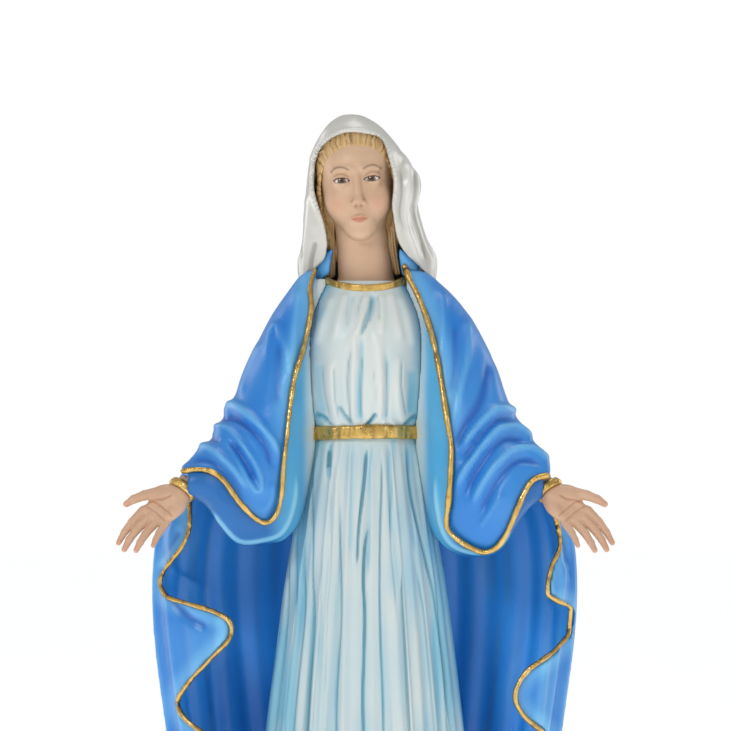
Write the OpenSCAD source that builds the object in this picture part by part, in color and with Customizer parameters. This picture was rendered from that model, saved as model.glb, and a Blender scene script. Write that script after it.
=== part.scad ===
// Devotional figure of a veiled woman with open hands, on a globe and a round plinth.
// Frame: millimetres, +Z up, -Y is the front, origin at the centre of the resting face.
// The figure's stations are given at its nominal size and stretch with the driving dimensions.

/* [Base] */
// Radius of the plinth at its foot
plinth_r = 47; // [42:1:60]
// Height of the plinth
plinth_h = 12; // [9:1:18]
// Thickness of the felt pad
felt_t = 1; // [0.5:0.25:2]
// Radius of the globe under the feet
globe_r = 48; // [42:1:60]
// How far the globe rises above the plinth
globe_rise = 15; // [12:1:20]
// Radius of the serpent's body at its thickest
serpent_r = 2.6; // [1.8:0.1:3.2]

/* [Figure] */
// Height of the figure from the top of the globe to the crown of the veil
figure_h = 272; // [232:4:312]
// Span from fingertip to fingertip
arm_span = 142; // [126:2:172]
// Depth of the mantle from front edge to back at its fullest
mantle_d = 59; // [52:1:66]
// Half width of the gown at the waist
waist_r = 15.8; // [13:0.2:18]
// Half width of the gown at the hem
hem_r = 36; // [32:0.5:39]
// Half width of the head at the cheekbones
head_r = 11.2; // [10:0.1:12]

/* [Shells] */
// Wall of the mantle casting
mantle_t = 2.6; // [1.8:0.1:3.6]
// Wall of the gown's skirt casting
skirt_t = 4; // [2.5:0.25:6]
// Wall of the veil
veil_t = 1.6; // [1.2:0.1:2.2]
// Glue gap between castings
gap = 0.15; // [0.05:0.05:0.3]

/* [Gilding] */
// Radius of the raised gold bead along the mantle's edge
bead_r = 1.0; // [0.6:0.1:1.4]
// Height of the gold girdle
girdle_h = 4.2; // [3:0.2:6]
// How far the girdle stands out from the gown
girdle_t = 1.3; // [0.8:0.1:2]
// Height of the gold band at the neckline
neckband_h = 2.4; // [1.6:0.2:3.6]

/* [Fixings] */
// Radius of the steel armature rod
rod_r = 2.5; // [2:0.25:3.5]
// Radius of the dowel between neck and torso
dowel_r = 1.5; // [1:0.25:2]
// Radius of the steel pin in each wrist
pin_r = 0.9; // [0.6:0.1:1.2]
// Radial clearance of rod, dowel and pins
pin_gap = 0.1; // [0.05:0.05:0.2]
// Across flats of the hexagonal nut
nut_af = 8; // [8:0.5:11]
// Height of the nut
nut_h = 4; // [3:0.5:5]
// Radius of the washer
washer_r = 7; // [6:0.5:9]
// Thickness of the washer
washer_t = 1.2; // [0.8:0.2:2]

/* [Hidden] */

base_top = felt_t + plinth_h + globe_rise;
plinth_top = felt_t + plinth_h;
globe_z = base_top - globe_r;
nominal_base = 28;
kz = figure_h / 272;
kx = arm_span / 142;
ky = mantle_d / 59;
// Height of a nominal station on this figure, and back again
function up(z) = base_top + (z - nominal_base) * kz;
function nominal(z) = nominal_base + (z - base_top) / kz;

// ---- station tables, nominal millimetres ----
// Outside of the cloak: height, half width, half depth, centre y
CLOAK = [[10, 43, 27, 6], [40, 46.5, 28, 5.5], [80, 52, 29, 5], [120, 58.5, 29.5, 4.5],
         [150, 62, 29.5, 4], [172, 61.5, 28, 4], [188, 56.5, 26, 4], [200, 48.5, 24, 4],
         [214, 40, 22, 4], [228, 34, 20.5, 4], [240, 28.5, 18.5, 4.5], [247, 23.5, 16, 5],
         [252, 18, 13.5, 5.5], [256, 13, 11, 6]];
// Drape over her left arm: distance from the middle, top, bottom, centre y, half depth, lean
DRAPE_LEFT = [[12, 255, 250, 2, 12, 0], [16, 253.5, 238, 0, 15, 2], [20, 250.5, 224, -2, 17, 4],
              [23, 248, 203, -4, 17.5, 6], [25, 245, 178, -5, 17.5, 7], [28, 241, 171, -6, 17.5, 8],
              [33, 230, 168.3, -8, 16.5, 8], [38, 218, 170, -11, 15, 7], [43, 208.5, 175, -14, 13, 5],
              [48, 200, 184, -17.5, 9.5, 3], [53, 194, 182, -20, 7.5, 1], [55, 192, 182, -20.8, 6.2, 0]];
// The same over her right arm, whose edge is gathered up a little higher
DRAPE_RIGHT = [[12, 255, 250, 2, 12, 0], [16, 253.5, 238, 0, 15, 2], [20, 250.5, 224, -2, 17, 4],
               [23, 248, 206, -4, 17.5, 6], [25, 245, 184, -5, 17.5, 7], [28, 241, 178.5, -6, 17.5, 8],
               [33, 230, 179, -8, 16.5, 8], [38, 218, 183.5, -11, 15, 7], [43, 208.5, 187, -14, 13, 5],
               [48, 200, 188, -17.5, 9.5, 3], [53, 194, 184, -20, 7.5, 1], [55, 192, 183, -20.8, 6.2, 0]];
// Undersleeve: distance from the middle, top, bottom, centre y, half depth, lean
UNDERSLEEVE = [[15, 250, 238, 0, 11, 0], [17.5, 249, 218, -1, 13, 2], [19.5, 247, 195, -2, 14, 4],
               [21, 245, 180, -3, 14.5, 5], [24, 242, 171, -4, 15, 6], [28, 237, 167.5, -6, 15, 7],
               [33, 226, 166.3, -8, 14, 8], [38, 214, 167.5, -11, 12.6, 7], [43, 204.5, 172.5, -14, 10.6, 5],
               [48, 197, 181.5, -17.5, 7, 3], [50.5, 194, 182.4, -18.6, 5.8, 2]];
// Torso: height, half width, half depth, centre y
TORSO = [[200, 15.8, 12.5, 0], [205, 16.4, 13.2, 0], [212, 18.2, 15.2, -0.5], [225, 19.2, 16.6, -0.5],
         [236, 18, 15.4, 0], [244, 14.6, 12.4, 1.2], [249, 11.4, 10, 2]];
// Skirt: share of the way down, widening from the waist to the hem, half depth, centre y
SKIRT = [[0, 0, 12.5, 0], [0.1, 0.16, 15.4, 0], [0.28, 0.42, 19.5, -0.5], [0.6, 0.74, 23.5, -0.5],
         [1, 1, 27, 0]];
// Veil: height, half width, half depth, centre x, centre y
VEIL = [[248, 20, 12, 0.4, 7.5], [256, 20.2, 13, 0.4, 7], [262, 18.3, 14, -0.4, 5.6],
        [270, 16.7, 15.2, -1, 4.4], [278, 16, 16, -1.2, 3.8], [286, 14, 15, -2, 3.8],
        [292, 11, 12.4, -2.9, 4.2], [296.5, 7.6, 8.8, -3.6, 4.6], [299.3, 3.4, 4.2, -4, 4.8],
        [300, 0.6, 0.8, -4, 4.8]];
// Head and neck: height, half width share, half depth, centre x, centre y
HEAD = [[243, 0.8, 8.6, -0.4, 3.6], [248, 0.72, 7.8, -0.6, 3.4], [254, 0.63, 7, -1, 3.2],
        [259, 0.6, 7.4, -1.4, 2.4], [261.5, 0.5, 9, -1.8, -0.6], [264, 0.68, 10.6, -2, 0.2],
        [269, 0.86, 12, -2.2, 1.4], [276, 0.98, 13, -2.4, 2.4], [283, 1, 13.6, -2.6, 3.2],
        [289, 0.9, 12.4, -2.8, 3.8], [294, 0.64, 9.2, -3.1, 4.2], [297, 0.28, 4.4, -3.3, 4.4]];

// ---- curves and lofts ----
function row(t, i) = let (last = len(t) - 1) t[min(last, max(0, i))];
function slope(t, c, i) = (row(t, i + 1)[c] - row(t, i - 1)[c]) / (row(t, i + 1)[0] - row(t, i - 1)[0]);
// Smooth value of column c where the first column is s
function at(t, s, c) =
    let (n = len(t), q = min(t[n - 1][0], max(t[0][0], s)))
    let (i = max([for (k = [0 : n - 2]) if (k == 0 || t[k][0] <= q) k]))
    let (h = t[i + 1][0] - t[i][0], u = (q - t[i][0]) / h)
    let (m0 = slope(t, c, i) * h, m1 = slope(t, c, i + 1) * h)
    (2 * u ^ 3 - 3 * u ^ 2 + 1) * t[i][c] + (u ^ 3 - 2 * u ^ 2 + u) * m0
    + (3 * u ^ 2 - 2 * u ^ 3) * t[i + 1][c] + (u ^ 3 - u ^ 2) * m1;
function steps(a, b, n) = [for (i = [0 : n]) a + (b - a) * i / n];
// A level oval ring, swollen by grow, with a wave of that many folds
function oval(c, a, b, n, grow = 0, wave = 0, folds = 0) =
    [for (k = [0 : n - 1]) let (t = 360 * k / n, w = 1 + wave * cos(folds * t))
        [c[0] + (a + grow) * w * cos(t), c[1] + (b + grow) * w * sin(t), c[2]]];
// A closed solid through rings of equal count, running counter-clockwise seen from the last ring
module loft(rings) {
    n = len(rings[0]);
    m = len(rings);
    ends = [rings[0], rings[m - 1]];
    middle = [for (r = ends) [for (c = [0 : 2]) [for (p = r) p[c]] * [for (p = r) 1 / n]]];
    points = concat([for (r = rings) each r], middle);
    sides = [for (j = [0 : m - 2], k = [0 : n - 1]) let (l = (k + 1) % n)
        each [[j * n + k, (j + 1) * n + k, (j + 1) * n + l],
              [j * n + k, (j + 1) * n + l, j * n + l]]];
    caps = [for (k = [0 : n - 1]) let (l = (k + 1) % n)
        each [[m * n, k, l], [m * n + 1, (m - 1) * n + l, (m - 1) * n + k]]];
    polyhedron(points, concat(sides, caps), convexity = 8);
}
// One closed mesh from a tree of lofts
module cast() { resize([0, 0, 0]) union() children(); }

function unit(v) = v / norm(v);
// A round tube along points, its radius given at each
module tube(path, radii, n = 8) {
    last = len(path) - 1;
    loft([for (i = [0 : last])
        let (d = unit(path[min(last, i + 1)] - path[max(0, i - 1)]))
        let (side = unit(cross(d, abs(d[2]) > 0.9 ? [0, 1, 0] : [0, 0, 1])), rise = cross(side, d))
        [for (k = [0 : n - 1]) let (t = 360 * k / n)
            path[i] + radii[i] * (cos(t) * side - sin(t) * rise)]]);
}

// ---- driving surfaces ----
function cloak_ring(z, grow) = let (s = nominal(z))
    oval([0, at(CLOAK, s, 3) * ky, z], at(CLOAK, s, 1) * kx, at(CLOAK, s, 2) * ky, 32, grow);
hem_z = plinth_top + 1;
// Distance of a glued-on bead from the face it sits on, and from the drape's edge
seat = 0.25;
edge_inset = 2;
cloak_tops = [196, 204, 212, 220, 228, 235, 241, 246, 250, 253];
module cloak(grow = 0, top = 256) {
    shoulders = [for (s = cloak_tops) if (s < top) up(s)];
    loft([for (z = concat(steps(hem_z + min(0, grow), up(188), 8), shoulders, up(top))) cloak_ring(z, grow)]);
}
// A section of a drape at distance x from the middle, on one side of the figure
function drape_ring(t, x, side, grow) =
    let (hi = at(t, x, 1), lo = at(t, x, 2), cy = at(t, x, 3), hy = at(t, x, 4), lean = at(t, x, 5))
    let (cz = (hi + lo) / 2, hz = (hi - lo) / 2)
    [for (k = [0 : 17]) let (a = 20 * k * side, c = cos(a), s = sin(a))
        [side * x * kx,
         (cy + lean * s) * ky + (hy * ky + grow) * c,
         up(cz + hz * s) + grow * s]];
module drape(t, side, grow = 0) {
    ends = [t[0][0], t[len(t) - 1][0]];
    loft([for (x = steps(ends[0], ends[1], 14)) drape_ring(t, x, side, grow)]);
}
function skirt_ring(z, grow, wave, count = 48) =
    let (s = (up(203) - z) / (up(203) - hem_z), a = waist_r + (hem_r - waist_r) * at(SKIRT, s, 1))
    oval([0, at(SKIRT, s, 3) * ky, z], a, at(SKIRT, s, 2) * ky, count, grow, wave * s, 12);
module skirt_body(grow = 0, wave = 0.045) {
    loft([for (z = steps(hem_z, up(203), 11)) skirt_ring(z, grow, wave)]);
}
function torso_ring(s, grow) =
    oval([0, at(TORSO, s, 3) * ky, up(s)], at(TORSO, s, 1) * waist_r / 15.8, at(TORSO, s, 2) * ky, 30, grow);
module torso_body(lo, hi, grow = 0, n = 8) { loft([for (s = steps(lo, hi, n)) torso_ring(s, grow)]); }
module veil_body(grow = 0, lo = 248, top = 300) {
    heights = [lo, 252, 256, 260, 265, 270, 275, 280, 284, 288, 291, 294, 296.5, 298.2, 299.4, 300];
    loft([for (s = heights) if (s <= top)
        oval([at(VEIL, s, 3), at(VEIL, s, 4) * ky, up(s)],
             max(0.4, at(VEIL, s, 1) + grow), max(0.4, at(VEIL, s, 2) * ky + grow), 28)]);
}

// ---- edges of the mantle, on one side of the figure ----
// Gold edge from the neck down the chest, round the lobe and up to the wrist.
// Distance from the middle, height
EDGE_LEFT = [[13.6, 251], [14.5, 246], [16.2, 240], [18.8, 231], [21.2, 220], [23, 209], [24.4, 198],
             [25, 188], [25.6, 180], [27.9, 174.2], [31, 171.2], [35, 170.6], [39, 173],
             [43.5, 178.4], [47.5, 186],
             [51, 189.4], [54, 190]];
EDGE_RIGHT = [[13.6, 251], [14.3, 246], [15.8, 240], [18.6, 231], [21, 220], [23, 210], [24.4, 200],
              [25.2, 191], [26, 185.6], [28.2, 181.6], [31, 180.6], [34.4, 182], [39, 186.6], [43.4, 190.4],
              [48, 193], [52, 193.4], [54, 192]];
// Cascade where the cloak's front edge falls from the wrist to the hem: height, distance from the middle
CASCADE_LEFT = [[14, 33], [22, 36], [30, 42], [36, 44.5], [44, 39.5], [50, 37.5], [58, 42], [66, 49.6],
                [71, 50], [79, 44], [86, 40], [94, 43], [102, 52], [107, 56], [112, 55.6], [118, 49],
                [124, 44],
                [131, 45.5], [138, 52], [144, 59.5], [149, 61.2], [152, 59.5], [154.5, 53], [158, 51.2],
                [164, 53.8], [171, 56.4], [178, 56], [184, 53]];
CASCADE_RIGHT = [[14, 33], [22, 34.5], [30, 36], [37, 43], [43, 46.2], [50, 43], [60, 37], [70, 39], [77, 47],
                 [83, 51.8], [89, 51], [97, 45], [104, 41], [112, 43.5], [119, 52], [124, 57], [130, 54],
                 [137, 46.5], [143, 43], [149, 46], [153, 53], [157, 59.4], [161, 61], [165, 58], [170, 52.5],
                 [176, 50], [184, 51.5]];
// Front face of a drape at a nominal place, and of the cloak
function drape_front(t, x, z) =
    let (hi = at(t, x, 1), lo = at(t, x, 2), s = max(-1, min(1, (2 * z - hi - lo) / (hi - lo))))
    at(t, x, 3) + at(t, x, 5) * s - at(t, x, 4) * sqrt(1 - s * s);
function cloak_front(x, z) = let (a = at(CLOAK, z, 1), s = min(0.999, x / a))
    at(CLOAK, z, 3) - at(CLOAK, z, 2) * sqrt(1 - s * s);
function smooth_path(p, n) = [for (i = [0 : n])
    let (s = i * (len(p) - 1) / n, k = min(len(p) - 2, floor(s)), u = s - k)
    let (a = row(p, k - 1), b = p[k], c = p[k + 1], d = row(p, k + 2))
    0.5 * (2 * b + (c - a) * u + (2 * a - 5 * b + 4 * c - d) * u ^ 2 + (3 * b - a - 3 * c + d) * u ^ 3)];
// How far a place lies outside a drape, in squared shares of its depth
function outside(t, p) =
    let (hi = at(t, p[0], 1), lo = at(t, p[0], 2), s = (2 * p[2] - hi - lo) / (hi - lo))
    ((p[1] - at(t, p[0], 3) - at(t, p[0], 5) * s) / at(t, p[0], 4)) ^ 2 + s ^ 2 - 1;
function drape_normal(t, p) = unit([for (d = [[0.2, 0, 0], [0, 0.2, 0], [0, 0, 0.2]])
    outside(t, p + d) - outside(t, p - d)]);
// The bead lies on the drape's face, set in from its edge
function front_path(edge, t, side, n = 28) = [for (i = [0 : n])
    let (line = smooth_path(edge, n), a = row(line, i - 1), b = row(line, i + 1), d = unit(b - a))
    let (x = line[i][0] - d[1] * edge_inset, z = line[i][1] + d[0] * edge_inset)
    let (p = [x, drape_front(t, x, z), z], c = p + (bead_r + seat) * drape_normal(t, p))
    [side * c[0] * kx, c[1] * ky, up(c[2])]];
function cascade_x(t, z) = min(at(t, z, 1), at(CLOAK, z, 1) - 3.2);
function cascade_path(t, side) = [for (z = steps(182, 17, 44)) let (x = cascade_x(t, z))
    [side * x * kx, cloak_front(x, z) * ky + mantle_t * 0.5, up(z)]];
// Cut edge of the cloak, where the bead sits against it
function cascade_edge(t, side) = [for (z = steps(182, 17, 44))
    let (x = cascade_x(t, z), lean = (cascade_x(t, z + 1) - cascade_x(t, z - 1)) / 2)
    [side * (x * kx + (bead_r + seat + 0.2) * sqrt(1 + lean ^ 2)), up(z)]];
function taper(n) = [for (i = [0 : n]) bead_r * min(1, 0.55 + 0.15 * min(i, n - i))];

// Everything in front between the mantle's two edges, for z from the hem to the neck
function opening_side(edge, cascade, side) = concat(
    [for (p = smooth_path(edge, 12)) [side * (p[0] + 3) * kx, up(p[1])]],
    cascade_edge(cascade, side),
    [[side * 36 * kx, up(13)], [side * 36 * kx, 0]]);
module opening() {
    left = opening_side(EDGE_LEFT, CASCADE_LEFT, 1);
    right = opening_side(EDGE_RIGHT, CASCADE_RIGHT, -1);
    n = len(right);
    translate([0, 4 * ky, 0]) rotate([90, 0, 0]) linear_extrude(height = 90)
        polygon(concat([[0, up(262)]], left, [for (i = [n - 1 : -1 : 0]) right[i]]));
}

// ---- base ----
module felt_pad() {
    color("darkgreen") difference() {
        cylinder(r = plinth_r - 1, h = felt_t, $fn = 72);
        translate([0, 0, -1]) cylinder(r = washer_r + 2, h = felt_t + 2, $fn = 48);
    }
}
// Foot, cavetto and top step of the turned plinth
module plinth() {
    waist = plinth_h * 0.3;
    top_r = plinth_r - 4;
    color("ivory") difference() {
        translate([0, 0, felt_t]) rotate_extrude($fn = 96) difference() {
            union() {
                square([plinth_r - 1, plinth_h * 0.34]);
                translate([plinth_r - plinth_h * 0.17, plinth_h * 0.17])
                    circle(r = plinth_h * 0.17, $fn = 32);
                square([top_r - 1, plinth_h]);
                translate([top_r - plinth_h * 0.14, plinth_h * 0.86])
                    circle(r = plinth_h * 0.14, $fn = 32);
            }
            translate([plinth_r - 3.4, plinth_h * 0.54]) circle(r = waist * 0.66, $fn = 32);
            translate([-plinth_r, -1]) square([plinth_r, plinth_h + 2]);
        }
        translate([0, 0, -1]) cylinder(r = rod_r + pin_gap, h = plinth_h + 4, $fn = 32);
        translate([0, 0, -1]) cylinder(r = washer_r + 1, h = felt_t + washer_t + nut_h + 3, $fn = 48);
    }
}
washer_z = felt_t + washer_t + nut_h + 2;
module armature_washer() {
    color("silver") translate([0, 0, washer_z - washer_t]) difference() {
        cylinder(r = washer_r, h = washer_t, $fn = 48);
        translate([0, 0, -1]) cylinder(r = rod_r + pin_gap, h = washer_t + 2, $fn = 32);
    }
}
module armature_nut() {
    color("silver") translate([0, 0, washer_z - washer_t - nut_h]) difference() {
        cylinder(r = nut_af / sqrt(3), h = nut_h, $fn = 6);
        translate([0, 0, -1]) cylinder(r = rod_r, h = nut_h + 2, $fn = 32);
    }
}
rod_top = up(228);
module armature_rod() {
    color("silver") translate([0, 0, felt_t + 0.8]) cylinder(r = rod_r, h = rod_top - felt_t - 0.8, $fn = 32);
}
module rod_hole() { translate([0, 0, -2]) cylinder(r = rod_r + pin_gap, h = rod_top + 2.3, $fn = 32); }
module globe() {
    color("steelblue") difference() {
        intersection() {
            translate([0, 0, globe_z]) sphere(r = globe_r, $fn = 96);
            translate([0, 0, plinth_top]) cylinder(r = globe_r, h = globe_rise + 5, $fn = 96);
        }
        rod_hole();
    }
}
module globe_seat() { translate([0, 0, globe_z]) sphere(r = globe_r + gap, $fn = 80); }
// Body of the serpent along the globe's foot, its head lifted
serpent_ring = sqrt((globe_r + serpent_r + gap) ^ 2 - (plinth_top + serpent_r - globe_z) ^ 2);
function serpent_path() = [for (i = [0 : 30])
    let (u = i / 30, a = 216 + 104 * u, r = serpent_ring + 0.45 * (1 - cos(5 * 360 * u)))
    [r * cos(a), r * sin(a), plinth_top + serpent_r + 0.1 + 125 * max(0, u - 0.8) ^ 2]];
function serpent_radii() = [for (i = [0 : 30]) let (u = i / 30)
    serpent_r * (u < 0.86 ? min(1, 0.25 + 1.6 * u)
                          : 0.82 + 0.5 * sin(180 * (u - 0.86) / 0.16) - 2.4 * max(0, u - 0.94))];
module serpent() { color("olive") tube(serpent_path(), serpent_radii(), 9); }

// ---- gown ----
module foot_blank(side, grow = 0) {
    for (toe = [[0, 3.4], [1, 2.7], [2, 2.4]])
        hull() for (p = [[7, -14], [8 + toe[0] * 1.6 - 1.4, -27.6 + toe[0] * 0.9]])
            let (x = p[0] * kx, y = p[1])
                translate([side * x, y, sqrt(globe_r ^ 2 - x ^ 2 - y ^ 2) + globe_z + 1.6])
                    sphere(r = toe[1] + grow, $fn = 14);
}
module foot(side) { color("wheat") cast() difference() { foot_blank(side); globe_seat(); } }
// The hem lifts over the toes in front
module toe_arch() {
    translate([0, -20 * ky, plinth_top + 2]) rotate([90, 0, 0])
        scale([1.5, 1, 1]) cylinder(r = 9.5, h = 40, $fn = 32);
}
module gown_skirt() {
    color("aliceblue") difference() {
        cast() difference() {
            skirt_body();
            loft([for (z = steps(hem_z - 2, up(196), 7)) skirt_ring(z, -skirt_t, 0, 28)]);
            globe_seat();
            toe_arch();
            for (side = [-1, 1]) foot_blank(side, gap);
        }
        rod_hole();
    }
}
module gown_bodice() {
    color("aliceblue") difference() {
        cast() difference() {
            torso_body(203, 249);
            head_blank(gap);
        }
        rod_hole();
        dowel_hole();
    }
}
module girdle_band(grow = 0) {
    loft([for (s = steps(-girdle_h / 2 - grow, girdle_h / 2 + grow, 5))
        torso_ring(204 + s, girdle_t + grow - 0.5 * (2 * s / girdle_h) ^ 2)]);
}
module girdle() {
    color("gold") cast() difference() {
        girdle_band();
        torso_body(200, 208, 2 * gap, 4);
    }
}
module neckline(grow = 0) {
    loft([for (s = steps(246.6 - grow, 246.6 + neckband_h + grow, 3)) torso_ring(s, 0.9 + grow)]);
}
module neckline_band() {
    color("gold") cast() difference() {
        neckline();
        torso_body(244, 251, 0, 3);
    }
}
module undersleeve_blank(side, grow = 0) { drape(UNDERSLEEVE, side, grow); }
module undersleeve(side) {
    color("lightskyblue") cast() difference() {
        undersleeve_blank(side);
        torso_body(203, 249, gap);
        skirt_body(gap);
        girdle_band(gap);
        neckline(gap);
        veil_body(gap);
        wrist_frame(side) {
            wrist_hole();
            hand_blank(gap);
            cuff_blank(gap);
        }
    }
}

// ---- hands ----
wrist = [53.5, -21, 187];
finger_dir = unit([0.66, -0.34, -0.67]);
thumb_dir = unit(cross([0.05, -0.92, 0.4], finger_dir));
palm_dir = cross(finger_dir, thumb_dir);
hand_k = kz;
module wrist_frame(side) {
    o = [wrist[0] * kx, wrist[1] * ky, up(wrist[2])];
    m = [for (r = [0 : 2]) [finger_dir[r], thumb_dir[r], palm_dir[r], o[r]]];
    mirror([side < 0 ? 1 : 0, 0, 0]) multmatrix(concat(m, [[0, 0, 0, 1]])) children();
}
// Fingers: knuckle, middle joint and tip along the finger, across and out of the palm, with their radii
FINGERS = [[[3.5, 3.6, 0.4], [8.6, 6.8, 1.5], [14, 8.6, 1.3], 2, 1.25],
           [[12, 3.8, 0], [18.6, 3.3, 0.4], [25, 2.1, -0.3], 1.5, 1.1],
           [[12.6, 1.2, 0.1], [19.2, 0.7, 0.6], [24.6, -0.5, 0.2], 1.55, 1.15],
           [[12.2, -1.5, 0.1], [18.2, -2.1, 0.8], [22.6, -3.3, 0.9], 1.45, 1.1],
           [[11, -3.9, 0.1], [15.4, -4.9, 0.9], [18.8, -6.1, 1.3], 1.3, 0.95]];
PALM = [[0, 2.2, 0, 2.5], [0, -2.2, 0, 2.5], [11.8, 3.2, 0, 1.9], [11, -3.7, 0, 1.7],
        [4.5, -3.6, 0, 2.4], [5, 3, 0.3, 2.7]];
module ball(p, r) { translate(hand_k * [p[0], p[1], p[2]]) sphere(r = r, $fn = 10); }
module bone(a, ra, b, rb, grow) {
    hull() {
        ball(a, ra * hand_k + grow);
        ball(b, rb * hand_k + grow);
    }
}
module hand_blank(grow = 0) {
    hull() for (p = PALM) ball(p, p[3] * hand_k + grow);
    for (f = FINGERS) {
        bone(f[0], f[3], f[1], (f[3] + f[4]) / 2, grow);
        bone(f[1], (f[3] + f[4]) / 2, f[2], f[4], grow);
    }
}
pin_l = 16;
module pin_blank(grow = 0) {
    rotate([0, 90, 0]) translate([0, 0, -pin_l / 2 - grow])
        cylinder(r = pin_r + grow, h = pin_l + 2 * grow, $fn = 20);
}
module wrist_hole() { pin_blank(pin_gap); }
module hand(side) { color("wheat") cast() wrist_frame(side) difference() { hand_blank(); wrist_hole(); } }
module wrist_pin(side) { color("silver") wrist_frame(side) pin_blank(); }
// Gold cuff at the mouth of the sleeve, an oval ring
module cuff_blank(grow = 0) {
    scale([1, 1.12, 1]) rotate([0, 90, 0]) translate([0, 0, -1.7 - grow])
        cylinder(r = 4.9 * hand_k + grow, h = 2.6 + 2 * grow, $fn = 28);
}
module cuff(side) {
    color("gold") cast() wrist_frame(side) difference() { cuff_blank(); hand_blank(gap); wrist_hole(); }
}

// ---- mantle ----
module mantle_bead(side) {
    edge = side > 0 ? EDGE_LEFT : EDGE_RIGHT;
    color("gold") tube(front_path(edge, side > 0 ? DRAPE_LEFT : DRAPE_RIGHT, side), taper(28), 6);
}
module cascade_bead(side) {
    color("gold") tube(cascade_path(side > 0 ? CASCADE_LEFT : CASCADE_RIGHT, side), taper(44), 6);
}
module mantle() {
    color("royalblue") cast() difference() {
        union() {
            difference() { cloak(); opening(); }
            drape(DRAPE_LEFT, 1);
            drape(DRAPE_RIGHT, -1);
        }
        cloak(-mantle_t, 251);
        torso_body(196, 258, girdle_t + gap, 12);
        skirt_body(gap);
        veil_body(gap);
        globe_seat();
        for (side = [-1, 1]) {
            undersleeve_blank(side, gap);
            wrist_frame(side) {
                hand_blank(gap);
                cuff_blank(gap);
                wrist_hole();
            }
        }
    }
}

// ---- head ----
head_k = head_r / 11.2;
function head_ring(s, grow) =
    oval([at(HEAD, s, 3), at(HEAD, s, 4) * ky, up(s)], at(HEAD, s, 1) * head_r, at(HEAD, s, 2) * head_k,
         24, grow);
module head_blank(grow = 0) {
    heights = [243, 249, 255, 259.5, 261.5, 263.5, 267, 272, 278, 284, 289, 293, 295.6, 297];
    loft([for (s = heights) head_ring(s, grow)]);
    hull() for (p = [[-2.4, -10.6, 279, 0.7], [-2.2, -12.6, 272.4, 1.1], [-2.2, -9.6, 271.4, 1.4]])
        translate([p[0], p[1] * ky, up(p[2])]) sphere(r = p[3] + grow, $fn = 12);
}
dowel_z = up(236);
dowel_l = up(254) - dowel_z;
module dowel_blank(grow = 0, ends = 0) {
    translate([-0.4, 3.4 * ky, dowel_z - ends])
        cylinder(r = dowel_r + grow, h = dowel_l + 2 * ends, $fn = 24);
}
module dowel_hole() { dowel_blank(pin_gap, 0.2); }
module neck_dowel() { color("burlywood") dowel_blank(); }
eye_r = 1.9;
module eye_blank(side, grow = 0, facets = 32) {
    translate([-2.5 + side * 4.5 * head_k, -7.4 * ky, up(279.4 + side * 0.3)])
        sphere(r = eye_r + grow, $fn = facets);
}
module eye(side) { color("white") eye_blank(side); }
module head() {
    color("wheat") difference() {
        cast() difference() {
            head_blank();
            for (side = [-1, 1]) eye_blank(side, gap, 16);
        }
        dowel_hole();
    }
}
module hair_blank() {
    loft([for (s = [262, 267, 272, 278, 284, 289, 293, 296])
        [for (p = head_ring(s, 1.5)) p + [0, 0.8, 1.1]]]);
    for (side = [-1, 1]) hull() for (p = [[9, 3, 268, 2], [8.4, 4.6, 258, 1.8], [8.8, 4.6, 252.5, 1.4]])
        translate([-1.6 + side * p[0], p[1] * ky, up(p[2])]) sphere(r = p[3], $fn = 12);
}
module face_window() {
    translate([-2.6, 0.5 * ky, up(274)]) rotate([90, 0, 0]) scale([9.8 * head_k, 14.4 * kz, 1])
        cylinder(r = 1, h = 30, $fn = 28);
}
module hair() {
    color("goldenrod") cast() difference() {
        intersection() {
            hair_blank();
            veil_body(-veil_t - gap, 247, 298.2);
        }
        head_blank(gap);
        face_window();
        neckline(gap);
        translate([-30, 9 * ky, up(240)]) cube([60, 30, 70 * kz]);
    }
}
// Outline of the veil's opening: across, height
VEIL_EDGE = [[-16, 246], [-14.6, 254], [-12.4, 259], [-12, 263], [-14.5, 270.4], [-15.4, 278], [-14.6, 285],
             [-11.5, 291.4], [-6, 294.4], [0, 293.4], [5.2, 289], [8, 282], [8.6, 274], [8.8, 268], [11, 262],
             [14.4, 256.5], [17, 246]];
module veil() {
    color("snow") cast() difference() {
        veil_body();
        veil_body(-veil_t, 247, 298.2);
        translate([0, 6 * ky, 0]) rotate([90, 0, 0]) linear_extrude(height = 40)
            polygon([for (p = smooth_path(VEIL_EDGE, 48)) [p[0] * head_k, up(p[1])]]);
    }
}

felt_pad();
plinth();
globe();
serpent();
armature_rod();
armature_nut();
armature_washer();
foot(-1);  // foot_right
foot(1);  // foot_left
gown_skirt();
gown_bodice();
girdle();
neckline_band();
undersleeve(-1);  // undersleeve_right
undersleeve(1);  // undersleeve_left
mantle();
mantle_bead(-1);  // mantle_bead_right
mantle_bead(1);  // mantle_bead_left
cascade_bead(-1);  // cascade_bead_right
cascade_bead(1);  // cascade_bead_left
cuff(-1);  // cuff_right
cuff(1);  // cuff_left
wrist_pin(-1);  // wrist_pin_right
wrist_pin(1);  // wrist_pin_left
hand(-1);  // hand_right
hand(1);  // hand_left
neck_dowel();
head();
eye(-1);  // eye_right
eye(1);  // eye_left
hair();
veil();
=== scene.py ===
"""Looks of the madonna statue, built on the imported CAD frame; lengths are nominal millimetres."""
import math
import bpy
import numpy as np
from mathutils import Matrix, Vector
from mathutils.bvhtree import BVHTree


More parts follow.
